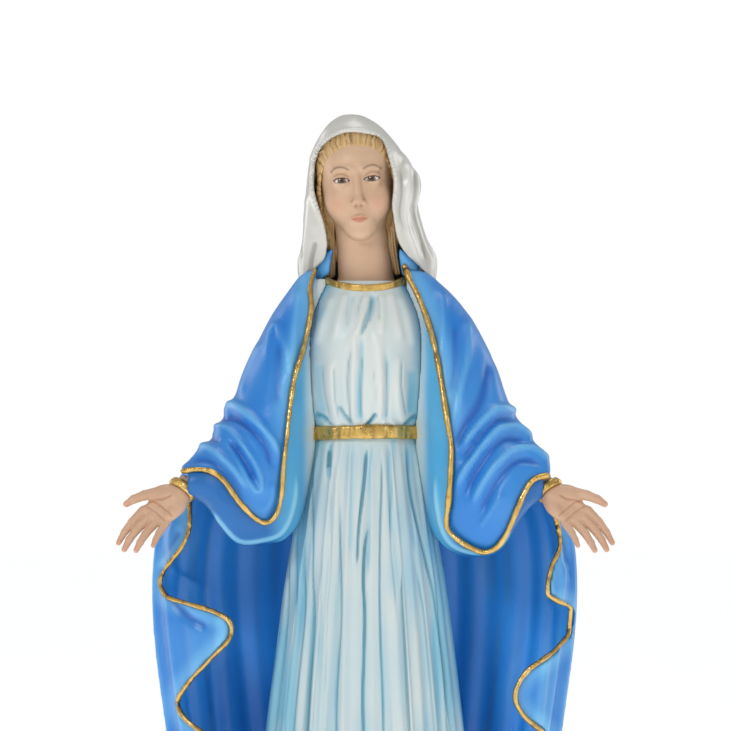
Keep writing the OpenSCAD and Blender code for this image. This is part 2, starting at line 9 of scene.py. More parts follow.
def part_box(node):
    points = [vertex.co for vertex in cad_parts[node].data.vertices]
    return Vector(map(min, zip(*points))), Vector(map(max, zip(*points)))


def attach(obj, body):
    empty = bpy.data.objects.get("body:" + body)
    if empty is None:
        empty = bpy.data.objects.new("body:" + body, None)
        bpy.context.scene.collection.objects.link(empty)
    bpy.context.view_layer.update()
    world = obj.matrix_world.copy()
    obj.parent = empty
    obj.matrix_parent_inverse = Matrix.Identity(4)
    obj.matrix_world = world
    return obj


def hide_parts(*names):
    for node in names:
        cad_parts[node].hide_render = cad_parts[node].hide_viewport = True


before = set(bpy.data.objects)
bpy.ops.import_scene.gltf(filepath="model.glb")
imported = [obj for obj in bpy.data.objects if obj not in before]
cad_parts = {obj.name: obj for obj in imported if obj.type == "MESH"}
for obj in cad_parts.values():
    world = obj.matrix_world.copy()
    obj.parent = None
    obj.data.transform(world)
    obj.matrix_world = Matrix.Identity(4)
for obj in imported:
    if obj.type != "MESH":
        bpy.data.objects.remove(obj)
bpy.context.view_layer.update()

MM = 0.001

# ---- the frame's own sizes, against the nominal ones that the tables are written in ----
PLINTH_TOP, GLOBE_TOP, CROWN_TOP = 13.0, 28.0, 300.0
HAND_SPAN, CLOAK_DEPTH = 142.0, 62.0
KX = (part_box("hand_left")[1][0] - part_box("hand_right")[0][0]) / MM / HAND_SPAN
KY = (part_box("mantle")[1][1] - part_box("mantle")[0][1]) / MM / CLOAK_DEPTH
KZ = (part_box("veil")[1][2] / MM - GLOBE_TOP) / (CROWN_TOP - GLOBE_TOP)
GLOBE_R = 48.0
GLOBE_Z = GLOBE_TOP - GLOBE_R
SIDE = {1: "left", -1: "right"}


def to_row(p):
    """Nominal millimetres to metres in the row frame; heights up to the globe's top are kept."""
    q = np.array(p, dtype=np.float64)
    q[..., 0] *= KX
    q[..., 1] *= KY
    above = q[..., 2] > GLOBE_TOP
    q[..., 2] = np.where(above, GLOBE_TOP + (q[..., 2] - GLOBE_TOP) * KZ, q[..., 2])
    return q * MM


# ---- numbers and curves ----
def ramp(v, lo, hi):
    """Smooth step from 0 at lo to 1 at hi."""
    t = np.clip((v - lo) / (hi - lo), 0.0, 1.0)
    return t * t * (3.0 - 2.0 * t)


def at(table, s):
    """Smooth rows of a station table at places s; returns one array per column after the first."""
    t = np.array(table, dtype=np.float64)
    k, v = t[:, 0], t[:, 1:]
    m = np.empty_like(v)
    m[1:-1] = (v[2:] - v[:-2]) / (k[2:] - k[:-2])[:, None]
    m[0] = (v[1] - v[0]) / (k[1] - k[0])
    m[-1] = (v[-1] - v[-2]) / (k[-1] - k[-2])
    q = np.clip(np.asarray(s, dtype=np.float64), k[0], k[-1])
    i = np.clip(np.searchsorted(k, q, side="right") - 1, 0, len(k) - 2)
    h = (k[i + 1] - k[i])[..., None]
    u = (q - k[i])[..., None] / h
    r = ((2 * u**3 - 3 * u**2 + 1) * v[i] + (u**3 - 2 * u**2 + u) * m[i] * h
         + (3 * u**2 - 2 * u**3) * v[i + 1] + (u**3 - u**2) * m[i + 1] * h)
    return [r[..., c] for c in range(r.shape[-1])]


def curve(points, n):
    """n + 1 points along a smooth curve through the given ones."""
    p = np.array(points, dtype=np.float64)
    p = np.vstack([2 * p[0] - p[1], p, 2 * p[-1] - p[-2]])
    s = np.linspace(0, len(p) - 3, n + 1)
    i = np.minimum(s.astype(int), len(p) - 4)
    u = (s - i)[:, None]
    a, b, c, d = p[i], p[i + 1], p[i + 2], p[i + 3]
    return 0.5 * (2 * b + (c - a) * u + (2 * a - 5 * b + 4 * c - d) * u**2 + (3 * b - a - 3 * c + d) * u**3)


CORNERS = [(dx, dy, dz) for dx in (0, 1) for dy in (0, 1) for dz in (0, 1)]


def noise(p, size, seed):
    """Smooth noise from -1 to 1 with features of the given size."""
    rng = np.random.default_rng(seed)
    lattice = rng.uniform(-1, 1, (32, 32, 32)).astype(np.float32)
    q = np.asarray(p, dtype=np.float32) / size + 100.0
    i = np.floor(q).astype(int)
    f = q - i
    f = f * f * (3 - 2 * f)
    out = np.zeros(q.shape[0], dtype=np.float32)
    for dx, dy, dz in CORNERS:
        w = np.abs(1 - dx - f[:, 0]) * np.abs(1 - dy - f[:, 1]) * np.abs(1 - dz - f[:, 2])
        out += w * lattice[(i[:, 0] + dx) % 32, (i[:, 1] + dy) % 32, (i[:, 2] + dz) % 32]
    return out


def around(count):
    """Angles spread evenly round a circle."""
    return 2 * np.pi * np.arange(count) / count


def unit(v):
    v = np.array(v, dtype=np.float64)
    return v / np.linalg.norm(v)


def units(v):
    """Rows of v made one long."""
    return v / np.linalg.norm(v, axis=1)[:, None]


def only(tone):
    """Tones with the green one alone."""
    return np.stack([0 * tone, tone, 0 * tone], axis=1)


# ---- solid fields on a grid: negative inside, in millimetres ----
class Grid:
    """Places of a box of cells: x, y and z as arrays that spread over one another."""
    def __init__(self, lo, hi, step):
        self.lo, self.step = np.array(lo, dtype=np.float64), step
        self.ax = [np.arange(lo[c], hi[c] + step, step, dtype=np.float32) for c in range(3)]
        self.x = self.ax[0][:, None, None]
        self.y = self.ax[1][None, :, None]
        self.z = self.ax[2][None, None, :]


def both(a, b, k):
    """Smooth union."""
    h = np.clip(0.5 + 0.5 * (b - a) / k, 0, 1)
    return b + (a - b) * h - k * h * (1 - h)


def cut(a, b, k=0.3):
    """a with b taken away, the edge rounded by k."""
    return -both(-a, b, k)


def ball(g, c, r):
    """Ellipsoid of radii r about c."""
    dx, dy, dz = g.x - c[0], g.y - c[1], g.z - c[2]
    k0 = np.sqrt((dx / r[0]) ** 2 + (dy / r[1]) ** 2 + (dz / r[2]) ** 2)
    k1 = np.sqrt((dx / r[0] ** 2) ** 2 + (dy / r[1] ** 2) ** 2 + (dz / r[2] ** 2) ** 2)
    return k0 * (k0 - 1.0) / np.maximum(k1, 1e-6)


def rod(g, a, b, ra, rb):
    """Tapered round-ended rod from a to b."""
    a, b = np.array(a, dtype=np.float64), np.array(b, dtype=np.float64)
    d = b - a
    t = ((g.x - a[0]) * d[0] + (g.y - a[1]) * d[1] + (g.z - a[2]) * d[2]) / max(1e-9, d @ d)
    t = np.clip(t, 0, 1)
    q = np.sqrt((g.x - a[0] - t * d[0]) ** 2 + (g.y - a[1] - t * d[1]) ** 2
                + (g.z - a[2] - t * d[2]) ** 2)
    return q - (ra + (rb - ra) * t)


def oval_field(dx, dy, a, b):
    """Ellipse of radii a and b, for places measured from its middle."""
    k0 = np.sqrt((dx / a) ** 2 + (dy / b) ** 2)
    k1 = np.sqrt((dx / a**2) ** 2 + (dy / b**2) ** 2)
    return k0 * (k0 - 1.0) / np.maximum(k1, 1e-6)


def nearest(x, z, line):
    """Squared distance of places to a line on the x and z plane, the side of it and how far along."""
    best, side, along = np.full(x.shape, 1e9), np.zeros(x.shape), np.zeros(x.shape)
    for i, ((ax, az), (bx, bz)) in enumerate(zip(line[:-1], line[1:])):
        dx, dz = bx - ax, bz - az
        t = np.clip(((x - ax) * dx + (z - az) * dz) / max(1e-9, dx * dx + dz * dz), 0, 1)
        d = (x - ax - t * dx) ** 2 + (z - az - t * dz) ** 2
        near = d < best
        best = np.where(near, d, best)
        side = np.where(near, dx * (z - az) - dz * (x - ax), side)
        along = np.where(near, (i + t) / (len(line) - 1), along)
    return best, side, along


def near_line(x, z, line):
    """Distance of places to a line on the x and z plane."""
    return np.sqrt(nearest(x, z, line)[0])


def side_of(xs, zs, line):
    """Signed distance to an open line on the x and z plane; positive to the left of its run."""
    best, side, _ = nearest(*np.meshgrid(xs, zs, indexing="ij"), line)
    return (np.sqrt(best) * np.sign(side)).astype(np.float32)


def inside_loop(xs, zs, loop):
    """Signed distance to a closed loop on the x and z plane, positive inside."""
    x, z = np.meshgrid(xs, zs, indexing="ij")
    hit = np.zeros(x.shape, dtype=bool)
    line = list(loop) + [loop[0]]
    for (ax, az), (bx, bz) in zip(line[:-1], line[1:]):
        if az != bz:
            hit ^= ((az > z) != (bz > z)) & (x < (bx - ax) * (z - az) / (bz - az) + ax)
    return (near_line(x, z, line) * np.where(hit, 1, -1)).astype(np.float32)


def net(g, f):
    """Surface net of the field's zero: vertices in millimetres and quads."""
    f = np.pad(f, 1, constant_values=10.0)
    neg = f < 0
    c = np.zeros(tuple(n - 1 for n in f.shape), dtype=np.uint8)
    for dx, dy, dz in CORNERS:
        c += neg[dx:f.shape[0] - 1 + dx, dy:f.shape[1] - 1 + dy, dz:f.shape[2] - 1 + dz]
    live = (c > 0) & (c < len(CORNERS))
    idx = np.full(c.shape, -1, dtype=np.int64)
    n = int(live.sum())
    idx[live] = np.arange(n)
    acc = np.zeros((n, 3))
    cnt = np.zeros(n)
    quads = []
    for axis in range(3):
        here, there = [slice(None)] * 3, [slice(None)] * 3
        here[axis], there[axis] = slice(0, -1), slice(1, None)
        here, there = tuple(here), tuple(there)
        ijk = np.argwhere(neg[here] != neg[there])
        va, vb = f[here][tuple(ijk.T)], f[there][tuple(ijk.T)]
        p = ijk.astype(np.float64)
        p[:, axis] += va / (va - vb)
        u, v = (axis + 1) % 3, (axis + 2) % 3
        cells = []
        for du, dv in ((1, 1), (0, 1), (0, 0), (1, 0)):
            q = ijk.copy()
            q[:, u] -= du
            q[:, v] -= dv
            cell = idx[tuple(q.T)]
            cells.append(cell)
            for k in range(3):
                acc[:, k] += np.bincount(cell, weights=p[:, k], minlength=n)
            cnt += np.bincount(cell, minlength=n)
        quad = np.stack(cells, axis=1)
        outside = va >= 0
        quad[outside] = quad[outside][:, ::-1]
        quads.append(quad)
    verts = (acc / cnt[:, None] - 1.0) * g.step + g.lo
    return verts, np.vstack(quads)


def soften(v, q, rounds, weight=0.5):
    """Laplacian smoothing along the quads' edges."""
    a, b = q.T.ravel(), np.roll(q, -1, axis=1).T.ravel()
    n = len(v)
    deg = np.bincount(a, minlength=n) + np.bincount(b, minlength=n)
    for _ in range(rounds):
        s = np.stack([np.bincount(a, weights=v[b, k], minlength=n)
                      + np.bincount(b, weights=v[a, k], minlength=n) for k in range(3)], axis=1)
        v = v + weight * (s / deg[:, None] - v)
    return v


def normals(v, q):
    """Normals of the vertices, for quads only."""
    d1, d2 = v[q[:, 2]] - v[q[:, 0]], v[q[:, 3]] - v[q[:, 1]]
    f = np.cross(d1, d2)
    n = np.stack([sum(np.bincount(q[:, c], weights=f[:, k], minlength=len(v)) for c in range(4))
                  for k in range(3)], axis=1)
    return n / np.maximum(np.linalg.norm(n, axis=1), 1e-12)[:, None]


def strokes(v, n, marks, facing=0.35):
    """Fold relief from marks drawn on the front: line, height, width to its left and to its right."""
    total = np.zeros(len(v))
    front = ramp(facing - n[:, 1], 0.0, 0.5)
    for line, height, wl, wr in marks:
        c = curve(line, 6 * (len(line) - 1))
        reach = 2.6 * max(wl, wr)
        lo, hi = c.min(0) - reach, c.max(0) + reach
        sel = np.flatnonzero((v[:, 0] > lo[0]) & (v[:, 0] < hi[0]) & (v[:, 2] > lo[1])
                             & (v[:, 2] < hi[1]) & (front > 0))
        best, side, along = nearest(v[sel, 0], v[sel, 2], c)
        w = np.where(side > 0, wl, wr)
        ends = ramp(along, -0.02, 0.16) * ramp(1 - along, -0.02, 0.16)
        total[sel] += height * np.exp(-best / w**2) * ends * front[sel]
    return total


# ---- meshes ----
def build(name, v, q, node, material, tone=None):
    """One visual piece that stands for a CAD node; faces are quads, or triangles that end in -1."""
    me = bpy.data.meshes.new(name)
    if (q[:, 3] < 0).any():
        me.from_pydata(to_row(v).tolist(), [], [[i for i in f if i >= 0] for f in q.tolist()])
    else:
        me.vertices.add(len(v))
        me.vertices.foreach_set("co", to_row(v).astype(np.float32).ravel())
        me.loops.add(q.size)
        me.loops.foreach_set("vertex_index", q.astype(np.int32).ravel())
        me.polygons.add(len(q))
        me.polygons.foreach_set("loop_start", np.arange(0, q.size, 4, dtype=np.int32))
    me.update(calc_edges=True)
    me.validate()
    me.polygons.foreach_set("use_smooth", np.full(len(me.polygons), True))
    if tone is not None:
        rgba = np.ones((len(v), 4), dtype=np.float32)
        rgba[:, :3] = np.clip(tone, 0, 1)
        layer = me.color_attributes.new(name="tone", type="FLOAT_COLOR", domain="POINT")
        layer.data.foreach_set("color", rgba.ravel())
    ob = bpy.data.objects.new(name, me)
    bpy.context.scene.collection.objects.link(ob)
    me.materials.append(material)
    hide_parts(node)
    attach(ob, "root")


def wall(m, n, close):
    """Quads between m rings of n places, the last joined to the first where asked."""
    j, k = np.meshgrid(np.arange(m if close else m - 1), np.arange(n), indexing="ij")
    up, l = (j + 1) % m, (k + 1) % n
    return np.stack([j * n + k, j * n + l, up * n + l, up * n + k], axis=-1).reshape(-1, 4)


def loft(rings, close_ends=True):
    """Skin through rings of equal count; closed ends are triangles to a middle point."""
    m, n = len(rings), len(rings[0])
    v, q = np.vstack(rings), wall(m, n, False)
    if close_ends:
        v = np.vstack([v, rings[0].mean(0), rings[-1].mean(0)])
        k = np.arange(n)
        l, last, none = (k + 1) % n, (m - 1) * n, np.full(n, -1)
        low = np.stack([l, k, np.full(n, m * n), none], axis=-1)
        high = np.stack([last + k, last + l, np.full(n, m * n + 1), none], axis=-1)
        q = np.vstack([q, low, high])
    return v, q


def tube(path, radius, n):
    """Round tube along a path, with a radius for each of its points."""
    d = units(np.gradient(path, axis=0))
    a = units(np.cross(d, (0.0, 1.0, 0.0)))
    b = np.cross(d, a)
    t = around(n)
    return loft([path[i] + radius[i] * (np.cos(t)[:, None] * a[i] + np.sin(t)[:, None] * b[i])
                 for i in range(len(path))])


# ---- stations of the figure, nominal millimetres ----
CLOAK = [[10, 43, 27, 6], [40, 46.5, 28, 5.5], [80, 52, 29, 5], [120, 58, 29.5, 4.5], [150, 61.6, 29.5, 4],
         [172, 61, 28, 4], [188, 56, 26, 4], [200, 47.5, 24, 4], [214, 38.4, 22, 4], [228, 31.6, 20.5, 4],
         [240, 26, 18.5, 4.5], [247, 21.8, 16, 5], [252, 18.5, 13.5, 5.5], [256, 13, 11, 6]]
TORSO = [[196, 15.6, 12.4, 0], [200, 15.8, 12.5, 0], [205, 16.4, 13.2, 0], [212, 18.2, 15.2, -0.5],
         [225, 19.2, 16.6, -0.5], [236, 18, 15.4, 0], [244, 14.6, 12.4, 1.2], [250, 11.2, 9.8, 2]]
SKIRT = [[0, 0, 12.5, 0], [0.1, 0.16, 15.4, 0], [0.28, 0.42, 19.5, -0.5], [0.6, 0.74, 23.5, -0.5],
         [1, 1, 27, 0]]
VEIL = [[246, 19.4, 12, 0.4, 7.5], [256, 20.2, 13, 0.4, 7], [262, 18.3, 14, -0.4, 5.6],
        [270, 16.7, 15.2, -1, 4.4],
        [278, 16, 16, -1.2, 3.8], [286, 14, 15, -2, 3.8], [292, 11, 12.4, -2.9, 4.2],
        [296.5, 7.6, 8.8, -3.6, 4.6],
        [299.3, 3.4, 4.2, -4, 4.8], [300, 0.6, 0.8, -4, 4.8]]
# Arm drapes by distance from the middle: top, bottom of the lining, centre y, half depth, lean
DRAPE_RIGHT = [[10, 256, 222, 3, 8, 0], [14, 254, 196, 1.5, 10, 1], [17.5, 252, 181, -0.5, 13.5, 3],
               [19, 250, 177, -2, 15, 4.5], [21, 248, 174, -3.4, 16.4, 5.5],
               [24, 244.2, 171.2, -5, 17.4, 7],
               [28, 238, 170.4, -6.2, 17.6, 8], [33, 227.6, 169.8, -8, 16.6, 8],
               [38, 215.6, 170.8, -11, 15.2, 7],
               [42, 208.8, 175.4, -13.6, 13.4, 5.4], [46, 201.8, 181.4, -16.2, 10.6, 4],
               [50, 197.4, 184, -18.6, 8.4, 2], [53.6, 194.2, 183.6, -20.4, 6.2, 1]]
DRAPE_LEFT = [[10, 256, 222, 3, 8, 0], [14, 254, 196, 1.5, 10, 1], [17.5, 252.5, 180, -0.5, 13.5, 3],
              [19, 251, 175, -2, 15, 4.5], [21, 249.4, 171.6, -3.4, 16.4, 5.5],
              [24, 247, 168.6, -5, 17.4, 7],
              [28, 242.6, 166.8, -6.2, 17.6, 8], [33, 235, 166.2, -8, 16.6, 8],
              [38, 224.6, 167.6, -11, 15.2, 7],
              [42, 212.8, 172, -13.6, 13.4, 5.4], [46, 206, 179, -16.2, 10.6, 4],
              [50, 200.4, 183, -18.6, 8.4, 2],
              [53.6, 195.6, 182.6, -20.4, 6.4, 1]]
# Gold edge of the mantle from the neck to the wrist: x and z
EDGE_RIGHT = [[-14.4, 253.4], [-15.9, 247.5], [-15.6, 240.5], [-17.9, 228.8], [-20.2, 221],
              [-21.7, 211], [-22.6, 202],
              [-23.5, 194], [-24.1, 185.5], [-25.6, 180], [-28.4, 177.4], [-31.8, 178.6], [-36.6, 183.6],
              [-41, 189.8], [-44.8, 192.6], [-49, 193.2], [-53.4, 192.6]]
EDGE_LEFT = [[11, 254.6], [12.6, 250], [14.8, 245.6], [17.7, 238], [19.8, 230], [21.6, 220], [23.3, 208.5],
             [24.5, 201], [24.4, 193.6], [23.8, 184], [23.2, 177], [25.4, 173.4], [30, 170.2],
             [34.4, 168.6],
             [38.2, 170.2], [41.2, 174.6], [44, 181.4], [46.4, 187], [49, 190.4], [53.4, 191.6]]
# Edge of the cloak from the wrist to the hem: x by height
CASCADE_RIGHT = [[14, 33], [22, 34.5], [30, 36], [37, 43], [43, 44.6], [50, 42], [60, 36], [70, 39],
                 [77, 47],
                 [83, 49.8], [89, 49], [97, 43], [104, 40], [112, 44], [118, 52], [123, 55], [129, 52],
                 [137, 45], [143, 39.6], [148, 39.4], [150.8, 43.5], [152.8, 50], [154.8, 57.4], [158, 60],
                 [161, 59.8], [165, 57.4], [170, 53.6], [176, 51.4], [186, 51.5]]
CASCADE_LEFT = [[14, 33], [22, 36], [30, 42], [36, 43], [44, 39], [50, 37.5], [58, 42], [66, 48], [72, 48],
                [79, 43], [86, 39.6], [94, 43], [102, 52], [108, 54.4], [113, 53.4], [120, 46], [126, 43.6],
                [133, 47], [139, 55], [144, 59.6], [149.4, 60.4], [152, 59.6], [154, 56], [156, 53.2],
                [164, 54.2], [170, 56.8], [177, 56], [186, 53]]


EDGE = {1: EDGE_LEFT, -1: EDGE_RIGHT}
CASCADE = {1: CASCADE_LEFT, -1: CASCADE_RIGHT}
DRAPE = {1: DRAPE_LEFT, -1: DRAPE_RIGHT}


def stations(table, places, axis):
    """Columns of a station table as arrays that lie along one axis of a grid."""
    shape = [1, 1, 1]
    shape[axis] = -1
    return [c.astype(np.float32).reshape(shape) for c in at(table, places)]


def drape(g, side, grow=0.0):
    """Lens-shaped sleeve of cloth hanging from the arm."""
    table = DRAPE[side]
    top, low, cy, hy, lean = stations(table, g.ax[0] * side, 0)
    cz, hz = (top + low) / 2, (top - low) / 2
    s = (g.z - cz) / hz
    f = oval_field(g.y - cy - lean * np.clip(s, -1.2, 1.2), g.z - cz, hy + grow, hz + grow)
    x = g.x * side
    return np.maximum(f, np.maximum(table[0][0] - x, x - table[-1][0] - grow))


def cloak_field(g, grow=0.0):
    a, b, cy = stations(CLOAK, g.ax[2], 2)
    return oval_field(g.x, g.y - cy, a + grow, b + grow)


def cloak_opening():
    """Loop round the gap between the mantle's two edges, from the neck to below the hem."""
    zs = np.linspace(184, 10, 120)
    right, left = ([[x, z] for x, z in curve(rows, 24)] for rows in (EDGE_RIGHT[:9], EDGE_LEFT[:10]))
    fall_r, fall_l = ([[side * x, z] for x, z in zip(at(CASCADE[side], zs)[0], zs)] for side in (-1, 1))
    return [[-2, 262]] + left + fall_l + [[33, 0], [-33, 0]] + fall_r[::-1] + right[::-1]


# ---- materials ----
def material(name):
    """A new material with its node tree and its shader."""
    m = bpy.data.materials.new(name)
    m.use_nodes = True
    nt = m.node_tree
    return m, nt, nt.nodes["Principled BSDF"]


def link(nt, a, b):
    nt.links.new(a, b)


def mix(nt, fac, a, b):
    """Blend of two colours by a share, each a node's output or a fixed value."""
    n = nt.nodes.new("ShaderNodeMix")
    n.data_type = "RGBA"
    for sock, val in ((n.inputs[0], fac), (n.inputs[6], a), (n.inputs[7], b)):
        if isinstance(val, bpy.types.NodeSocket):
            link(nt, val, sock)
        else:
            sock.default_value = (*val, 1.0)
    return n.outputs[2]


def settle(node, **values):
    """Set a node's inputs by name, with _ for a space."""
    for name, value in values.items():
        node.inputs[name.replace("_", " ")].default_value = value


def tones(nt):
    """The piece's painted red, green and blue tones."""
    a = nt.nodes.new("ShaderNodeAttribute")
    a.attribute_name = "tone"
    s = nt.nodes.new("ShaderNodeSeparateColor")
    link(nt, a.outputs["Color"], s.inputs[0])
    return s.outputs


def coords(nt, scale=(1, 1, 1)):
    c = nt.nodes.new("ShaderNodeTexCoord")
    m = nt.nodes.new("ShaderNodeMapping")
    m.inputs["Scale"].default_value = scale
    link(nt, c.outputs["Object"], m.inputs["Vector"])
    return m.outputs[0]


def speckle(nt, vec, scale, detail=3.0, rough=0.5, lo=0.0, hi=1.0):
    """Cloudy noise spread from lo to hi."""
    n = nt.nodes.new("ShaderNodeTexNoise")
    settle(n, Scale=scale, Detail=detail, Roughness=rough)
    link(nt, vec, n.inputs["Vector"])
    r = nt.nodes.new("ShaderNodeMapRange")
    settle(r, From_Min=0.3, From_Max=0.7, To_Min=lo, To_Max=hi)
    link(nt, n.outputs["Fac"], r.inputs["Value"])
    return r.outputs[0]


def layered(nt, colour, shares, paints):
    """Paints laid one over another on a colour, each by its share."""
    for share, paint in zip(shares, paints):
        if paint:
            colour = mix(nt, share, colour, paint)
    return colour


def bump(nt, bsdf, height, strength, distance):
    b = nt.nodes.new("ShaderNodeBump")
    settle(b, Strength=strength, Distance=distance)
    link(nt, height, b.inputs["Height"])
    link(nt, b.outputs[0], bsdf.inputs["Normal"])


def painted(name, deep, mid, light, third, rough, coat, grain=0.04):
    """Airbrushed paint: the red tone lightens, the green deepens, the blue brings in a third colour; through
    them the pieces lay painted highlights and painted shade.
    """
    m, nt, b = material(name)
    t = tones(nt)
    vec = coords(nt)
    add = nt.nodes.new("ShaderNodeMath")
    add.operation = "ADD"
    link(nt, t[0], add.inputs[0])
    link(nt, speckle(nt, vec, 60, 4, 0.6, -grain, grain), add.inputs[1])
    base = layered(nt, mix(nt, add.outputs[0], mid, light), t[1:], (deep, third))
    link(nt, base, b.inputs["Base Color"])
    settle(b, Roughness=rough, Coat_Weight=coat, Coat_Roughness=0.25)
    bump(nt, b, speckle(nt, vec, 900, 2, 0.5), 0.12, 0.0002)
    return m


def gilt(name):
    """Brushed-on gold paint, darker brown by the green tone, and the primer glowing through."""
    m, nt, b = material(name)
    vec = coords(nt)
    streak = speckle(nt, coords(nt, (1.6, 1.6, 0.7)), 300, 4, 0.6)
    patch = speckle(nt, vec, 150, 3, 0.6)
    base = mix(nt, streak, (0.40, 0.21, 0.035), (0.86, 0.66, 0.28))
    base = mix(nt, patch, base, (0.66, 0.42, 0.11))
    darkening = speckle(nt, vec, 210, 4, 0.65, -2.4, 0.8)
    base = mix(nt, darkening, base, (0.16, 0.085, 0.035))
    # the green tone: painted shade on the beads' flanks, and brown streaks of thin gilding on beads and
    # strips
    base = mix(nt, tones(nt)[1], base, (0.15, 0.07, 0.02))
    link(nt, base, b.inputs["Base Color"])
    settle(b, Metallic=0.86)
    link(nt, speckle(nt, vec, 240, 3, 0.6, 0.22, 0.46), b.inputs["Roughness"])
    bump(nt, b, speckle(nt, coords(nt, (1.4, 1.4, 0.8)), 420, 3, 0.6), 0.4, 0.0004)
    return m


# Third colours: the mantle's bright blue is painted light on its shaded inside, the gown's dark teal is
# painted shade in cut lines, fold hollows and under the sleeves, and the veil's is painted on its inside in
# place of shade
MANTLE = painted("mantle_paint", (0.0, 0.075, 0.42), (0.003, 0.18, 0.61), (0.16, 0.49, 0.82),
                 (0.03, 0.37, 1.0), 0.40, 0.12)
SLEEVE = painted("sleeve_paint", (0.002, 0.13, 0.42), (0.07, 0.40, 0.70), (0.33, 0.66, 0.82),
                 (0.66, 0.73, 0.70), 0.42, 0.1)
GOWN = painted("gown_paint", (0.20, 0.49, 0.64), (0.60, 0.665, 0.65), (0.70, 0.72, 0.68),
               (0.07, 0.25, 0.32), 0.48, 0.15)
VEILING = painted("veil_paint", (0.30, 0.29, 0.245), (0.50, 0.485, 0.42), (0.69, 0.675, 0.635),
                  (0.42, 0.47, 0.44), 0.30, 0.5)
GOLD = gilt("gilding")


def flesh():
    """Matt flesh paint: the red tone adds blush, the green tone paints shade, the blue tone paints dark
    lines.
    """
    m, nt, b = material("skin_paint")
    t = tones(nt)
    vec = coords(nt)
    base = mix(nt, speckle(nt, vec, 70, 4, 0.6), (0.58, 0.375, 0.24), (0.65, 0.435, 0.285))
    paints = ((0.56, 0.19, 0.11), (0.36, 0.15, 0.075), (0.055, 0.024, 0.012))
    link(nt, layered(nt, base, t, paints), b.inputs["Base Color"])
    settle(b, Roughness=0.5, Coat_Weight=0.12, Coat_Roughness=0.35, Subsurface_Weight=0.12,
           Subsurface_Scale=0.002, Subsurface_Radius=(1.0, 0.4, 0.25))
    bump(nt, b, speckle(nt, vec, 1100, 2, 0.5), 0.1, 0.0002)
    return m


SKIN = flesh()


def tresses():
    """Hair paint: the red tone lightens with painted highlights and the green tone deepens with painted
    shade.
    """
    m, nt, b = material("hair_paint")
    t = tones(nt)
    vec = coords(nt)
    base = mix(nt, speckle(nt, vec, 260, 4, 0.6), (0.36, 0.19, 0.055), (0.56, 0.33, 0.12))
    paints = ((0.68, 0.45, 0.20), (0.10, 0.045, 0.015))
    link(nt, layered(nt, base, t, paints), b.inputs["Base Color"])
    settle(b, Roughness=0.5, Coat_Weight=0.15)
    bump(nt, b, speckle(nt, vec, 900, 3, 0.6), 0.25, 0.0002)
    return m


HAIR = tresses()


def mottled(name, dark, pale, patches, size, rough, coat=0.1, darkening=None):
    """Hand-sponged paint in three colours; the green tone brings in a darker one over them."""
    m, nt, b = material(name)
    vec = coords(nt)
    col = mix(nt, speckle(nt, vec, size, 5, 0.6), dark, pale)
    col = mix(nt, speckle(nt, vec, size * 2.7, 5, 0.7, -0.6, 1.0), col, patches)
    if darkening:
        col = mix(nt, tones(nt)[1], col, darkening)
    link(nt, col, b.inputs["Base Color"])
    settle(b, Coat_Weight=coat)
    link(nt, speckle(nt, vec, size * 3, 3, 0.6, rough - 0.08, rough + 0.1), b.inputs["Roughness"])
    bump(nt, b, speckle(nt, vec, size * 9, 4, 0.6), 0.25, 0.0003)
    return m


GLOBE = mottled("globe_paint", (0.10, 0.34, 0.62), (0.38, 0.60, 0.76), (0.74, 0.82, 0.84), 45, 0.42, 0.3)
STONE = mottled("plinth_paint", (0.66, 0.60, 0.50), (0.76, 0.72, 0.64), (0.52, 0.45, 0.36), 70, 0.5, 0.15,
                (0.34, 0.27, 0.19))
SCALES = mottled("serpent_paint", (0.055, 0.11, 0.035), (0.16, 0.22, 0.06),
(0.34, 0.32, 0.10), 160, 0.38, 0.35,
                 (0.015, 0.025, 0.01))
FELT = mottled("felt", (0.012, 0.06, 0.028), (0.022, 0.09, 0.042), (0.006, 0.035, 0.016), 400, 0.9, 0.0)
STEEL = mottled("steel", (0.52, 0.53, 0.54), (0.62, 0.62, 0.62), (0.40, 0.41, 0.42), 300, 0.34, 0.0)
STEEL.node_tree.nodes["Principled BSDF"].inputs["Metallic"].default_value = 1.0
WOOD = mottled("dowel_wood", (0.56, 0.36, 0.18), (0.66, 0.46, 0.26), (0.44, 0.26, 0.12), 120, 0.6, 0.0)


def eye_enamel():
    """White of the eye, with the iris in the red tone and the pupil in the green."""
    m, nt, b = material("eye_enamel")
    t = tones(nt)
    base = mix(nt, speckle(nt, coords(nt), 800, 2), (0.80, 0.76, 0.71), (0.86, 0.83, 0.79))
    paints = ((0.16, 0.07, 0.025), (0.012, 0.008, 0.006))
    link(nt, layered(nt, base, t, paints), b.inputs["Base Color"])
    settle(b, Roughness=0.12, Coat_Weight=0.6, Coat_Roughness=0.05)
    return m


EYE = eye_enamel()


# ---- mantle ----


def gold_edge(side):
    return curve(EDGE[side], 90)


def beyond_edge(g, side):
    """Signed distance to the gold edge over one arm, negative on the mantle's side."""
    line = gold_edge(side)
    line = np.vstack([[line[0][0] * 0.85, 268], line, [side * 74, line[-1][1] - 3]])
    return -side * side_of(g.ax[0], g.ax[2], line)[:, None, :]


def torso_field(g, grow=0.0):
    a, b, cy = stations(TORSO, g.ax[2], 2)
    return np.maximum(oval_field(g.x, g.y - cy, a + grow, b + grow), g.z - 251)


def veil_field(g, grow=0.0):
    a, b, cx, cy = stations(VEIL, g.ax[2], 2)
    a, b = np.maximum(a + grow, 0.4), np.maximum(b + grow, 0.4)
    return np.maximum(oval_field(g.x - cx, g.y - cy, a, b), 246 - g.z)


